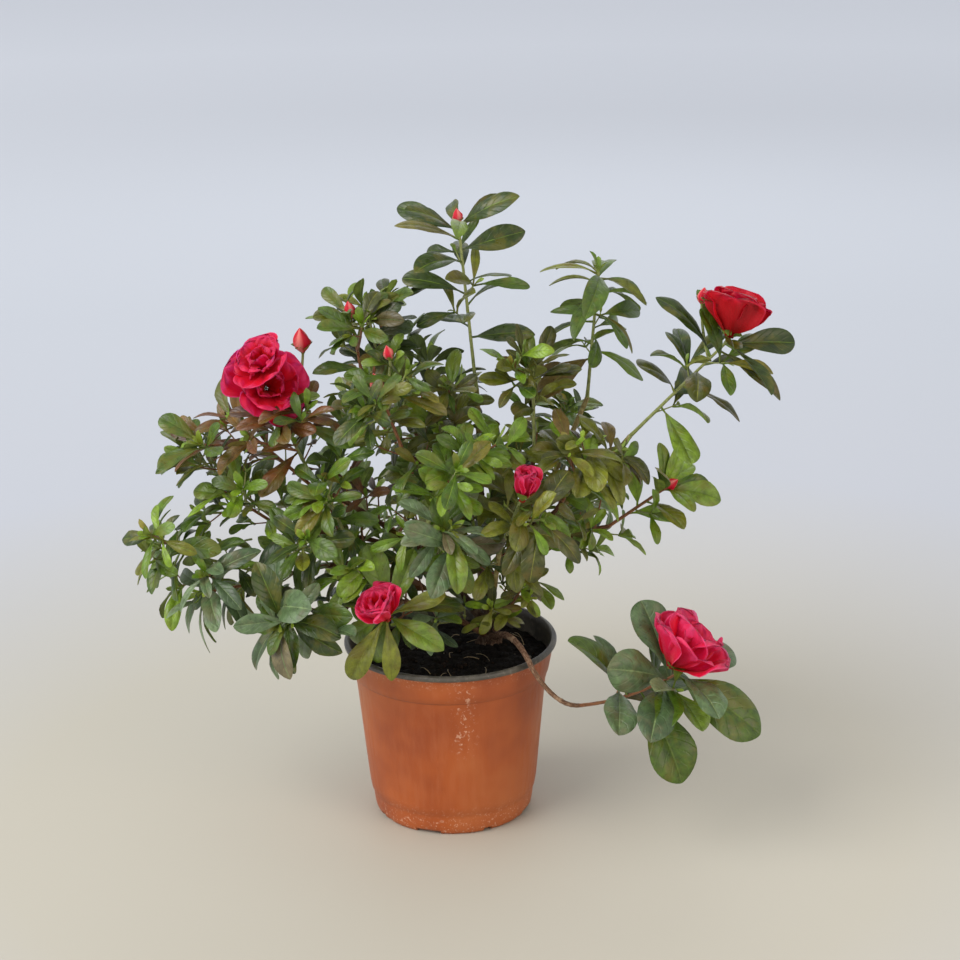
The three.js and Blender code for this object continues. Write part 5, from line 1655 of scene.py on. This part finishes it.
# Stage, light and camera
def make_stage():
    mesh = bpy.data.meshes.new("floor")
    corners = ((-1, -1), (1, -1), (1, 1), (-1, 1))
    mesh.from_pydata([(x * FLOOR_REACH, y * FLOOR_REACH, 0) for x, y in corners], [], [(0, 1, 2, 3)])
    paint = Paint("floor_paint", 0.6, 0.3)
    level = paint.node("ShaderNodeVectorMath", dict(operation="LENGTH"), Vector=paint.place.outputs["Object"])
    far = paint.times(level.outputs["Value"], 0.25)
    # Cream near the pot and blue-grey further out, growing paler towards the edge: this paling is painted
    # light, making up for the lamps' light that falls off far from them.
    paint.colour(paint.ramp(far, (0.07, srgb(188, 184, 170)), (0.17, srgb(188, 192, 199)),
                            (0.32, srgb(192, 197, 204)), (0.5, srgb(204, 209, 216)),
                            (0.8, srgb(222, 227, 234))))
    mesh.materials.append(paint.material)
    placed("floor", mesh)


def add_light(name, location, target, size, power, colour):
    data = bpy.data.lights.new(name, "AREA")
    data.shape = "DISK"
    data.size = size
    data.energy = power
    data.color = colour
    lamp = placed(name, data)
    away = np.array(location, float) - np.array(target, float)
    lamp.location = location
    lamp.rotation_euler = (math.atan2(math.hypot(away[0], away[1]), away[2]), 0,
                           math.atan2(away[1], away[0]) + math.pi / 2)


def make_light():
    bpy.context.scene.view_settings.view_transform = "Standard"
    world = bpy.data.worlds.new("studio")
    bpy.context.scene.world = world
    world.use_nodes = True
    background = world.node_tree.nodes["Background"]
    background.inputs["Color"].default_value = (0.94, 0.95, 1.0, 1.0)
    background.inputs["Strength"].default_value = 0.7
    add_light("window", (-3.0, -1.6, 2.8), (0, 0, 0.15), 4.0, 168, (1.0, 0.98, 0.96))
    add_light("room", (1.3, -1.3, 0.9), (0, 0, 0.2), 1.4, 10, (1.0, 0.82, 0.62))
    add_light("behind", (0.2, 1.6, 1.3), (0, 0, 0.2), 1.6, 6, (0.95, 0.97, 1.0))


def make_camera():
    data = bpy.data.cameras.new("camera")
    data.lens, data.sensor_width = CAMERA_LENS, 36
    camera = placed("camera", data)
    camera.location = CAMERA_PLACE
    camera.rotation_mode = "QUATERNION"
    pitch = Matrix.Rotation(math.radians(90 - CAMERA_PITCH), 4, "X")
    roll = Matrix.Rotation(math.radians(CAMERA_ROLL), 4, "Z")
    camera.rotation_quaternion = (pitch @ roll).to_quaternion()
    bpy.context.scene.camera = camera


make_camera()
make_light()
make_stage()
plant_masses = grow_plant()
make_foliage(plant_masses)
make_blossom(plant_masses)
make_limbs()
make_pot()
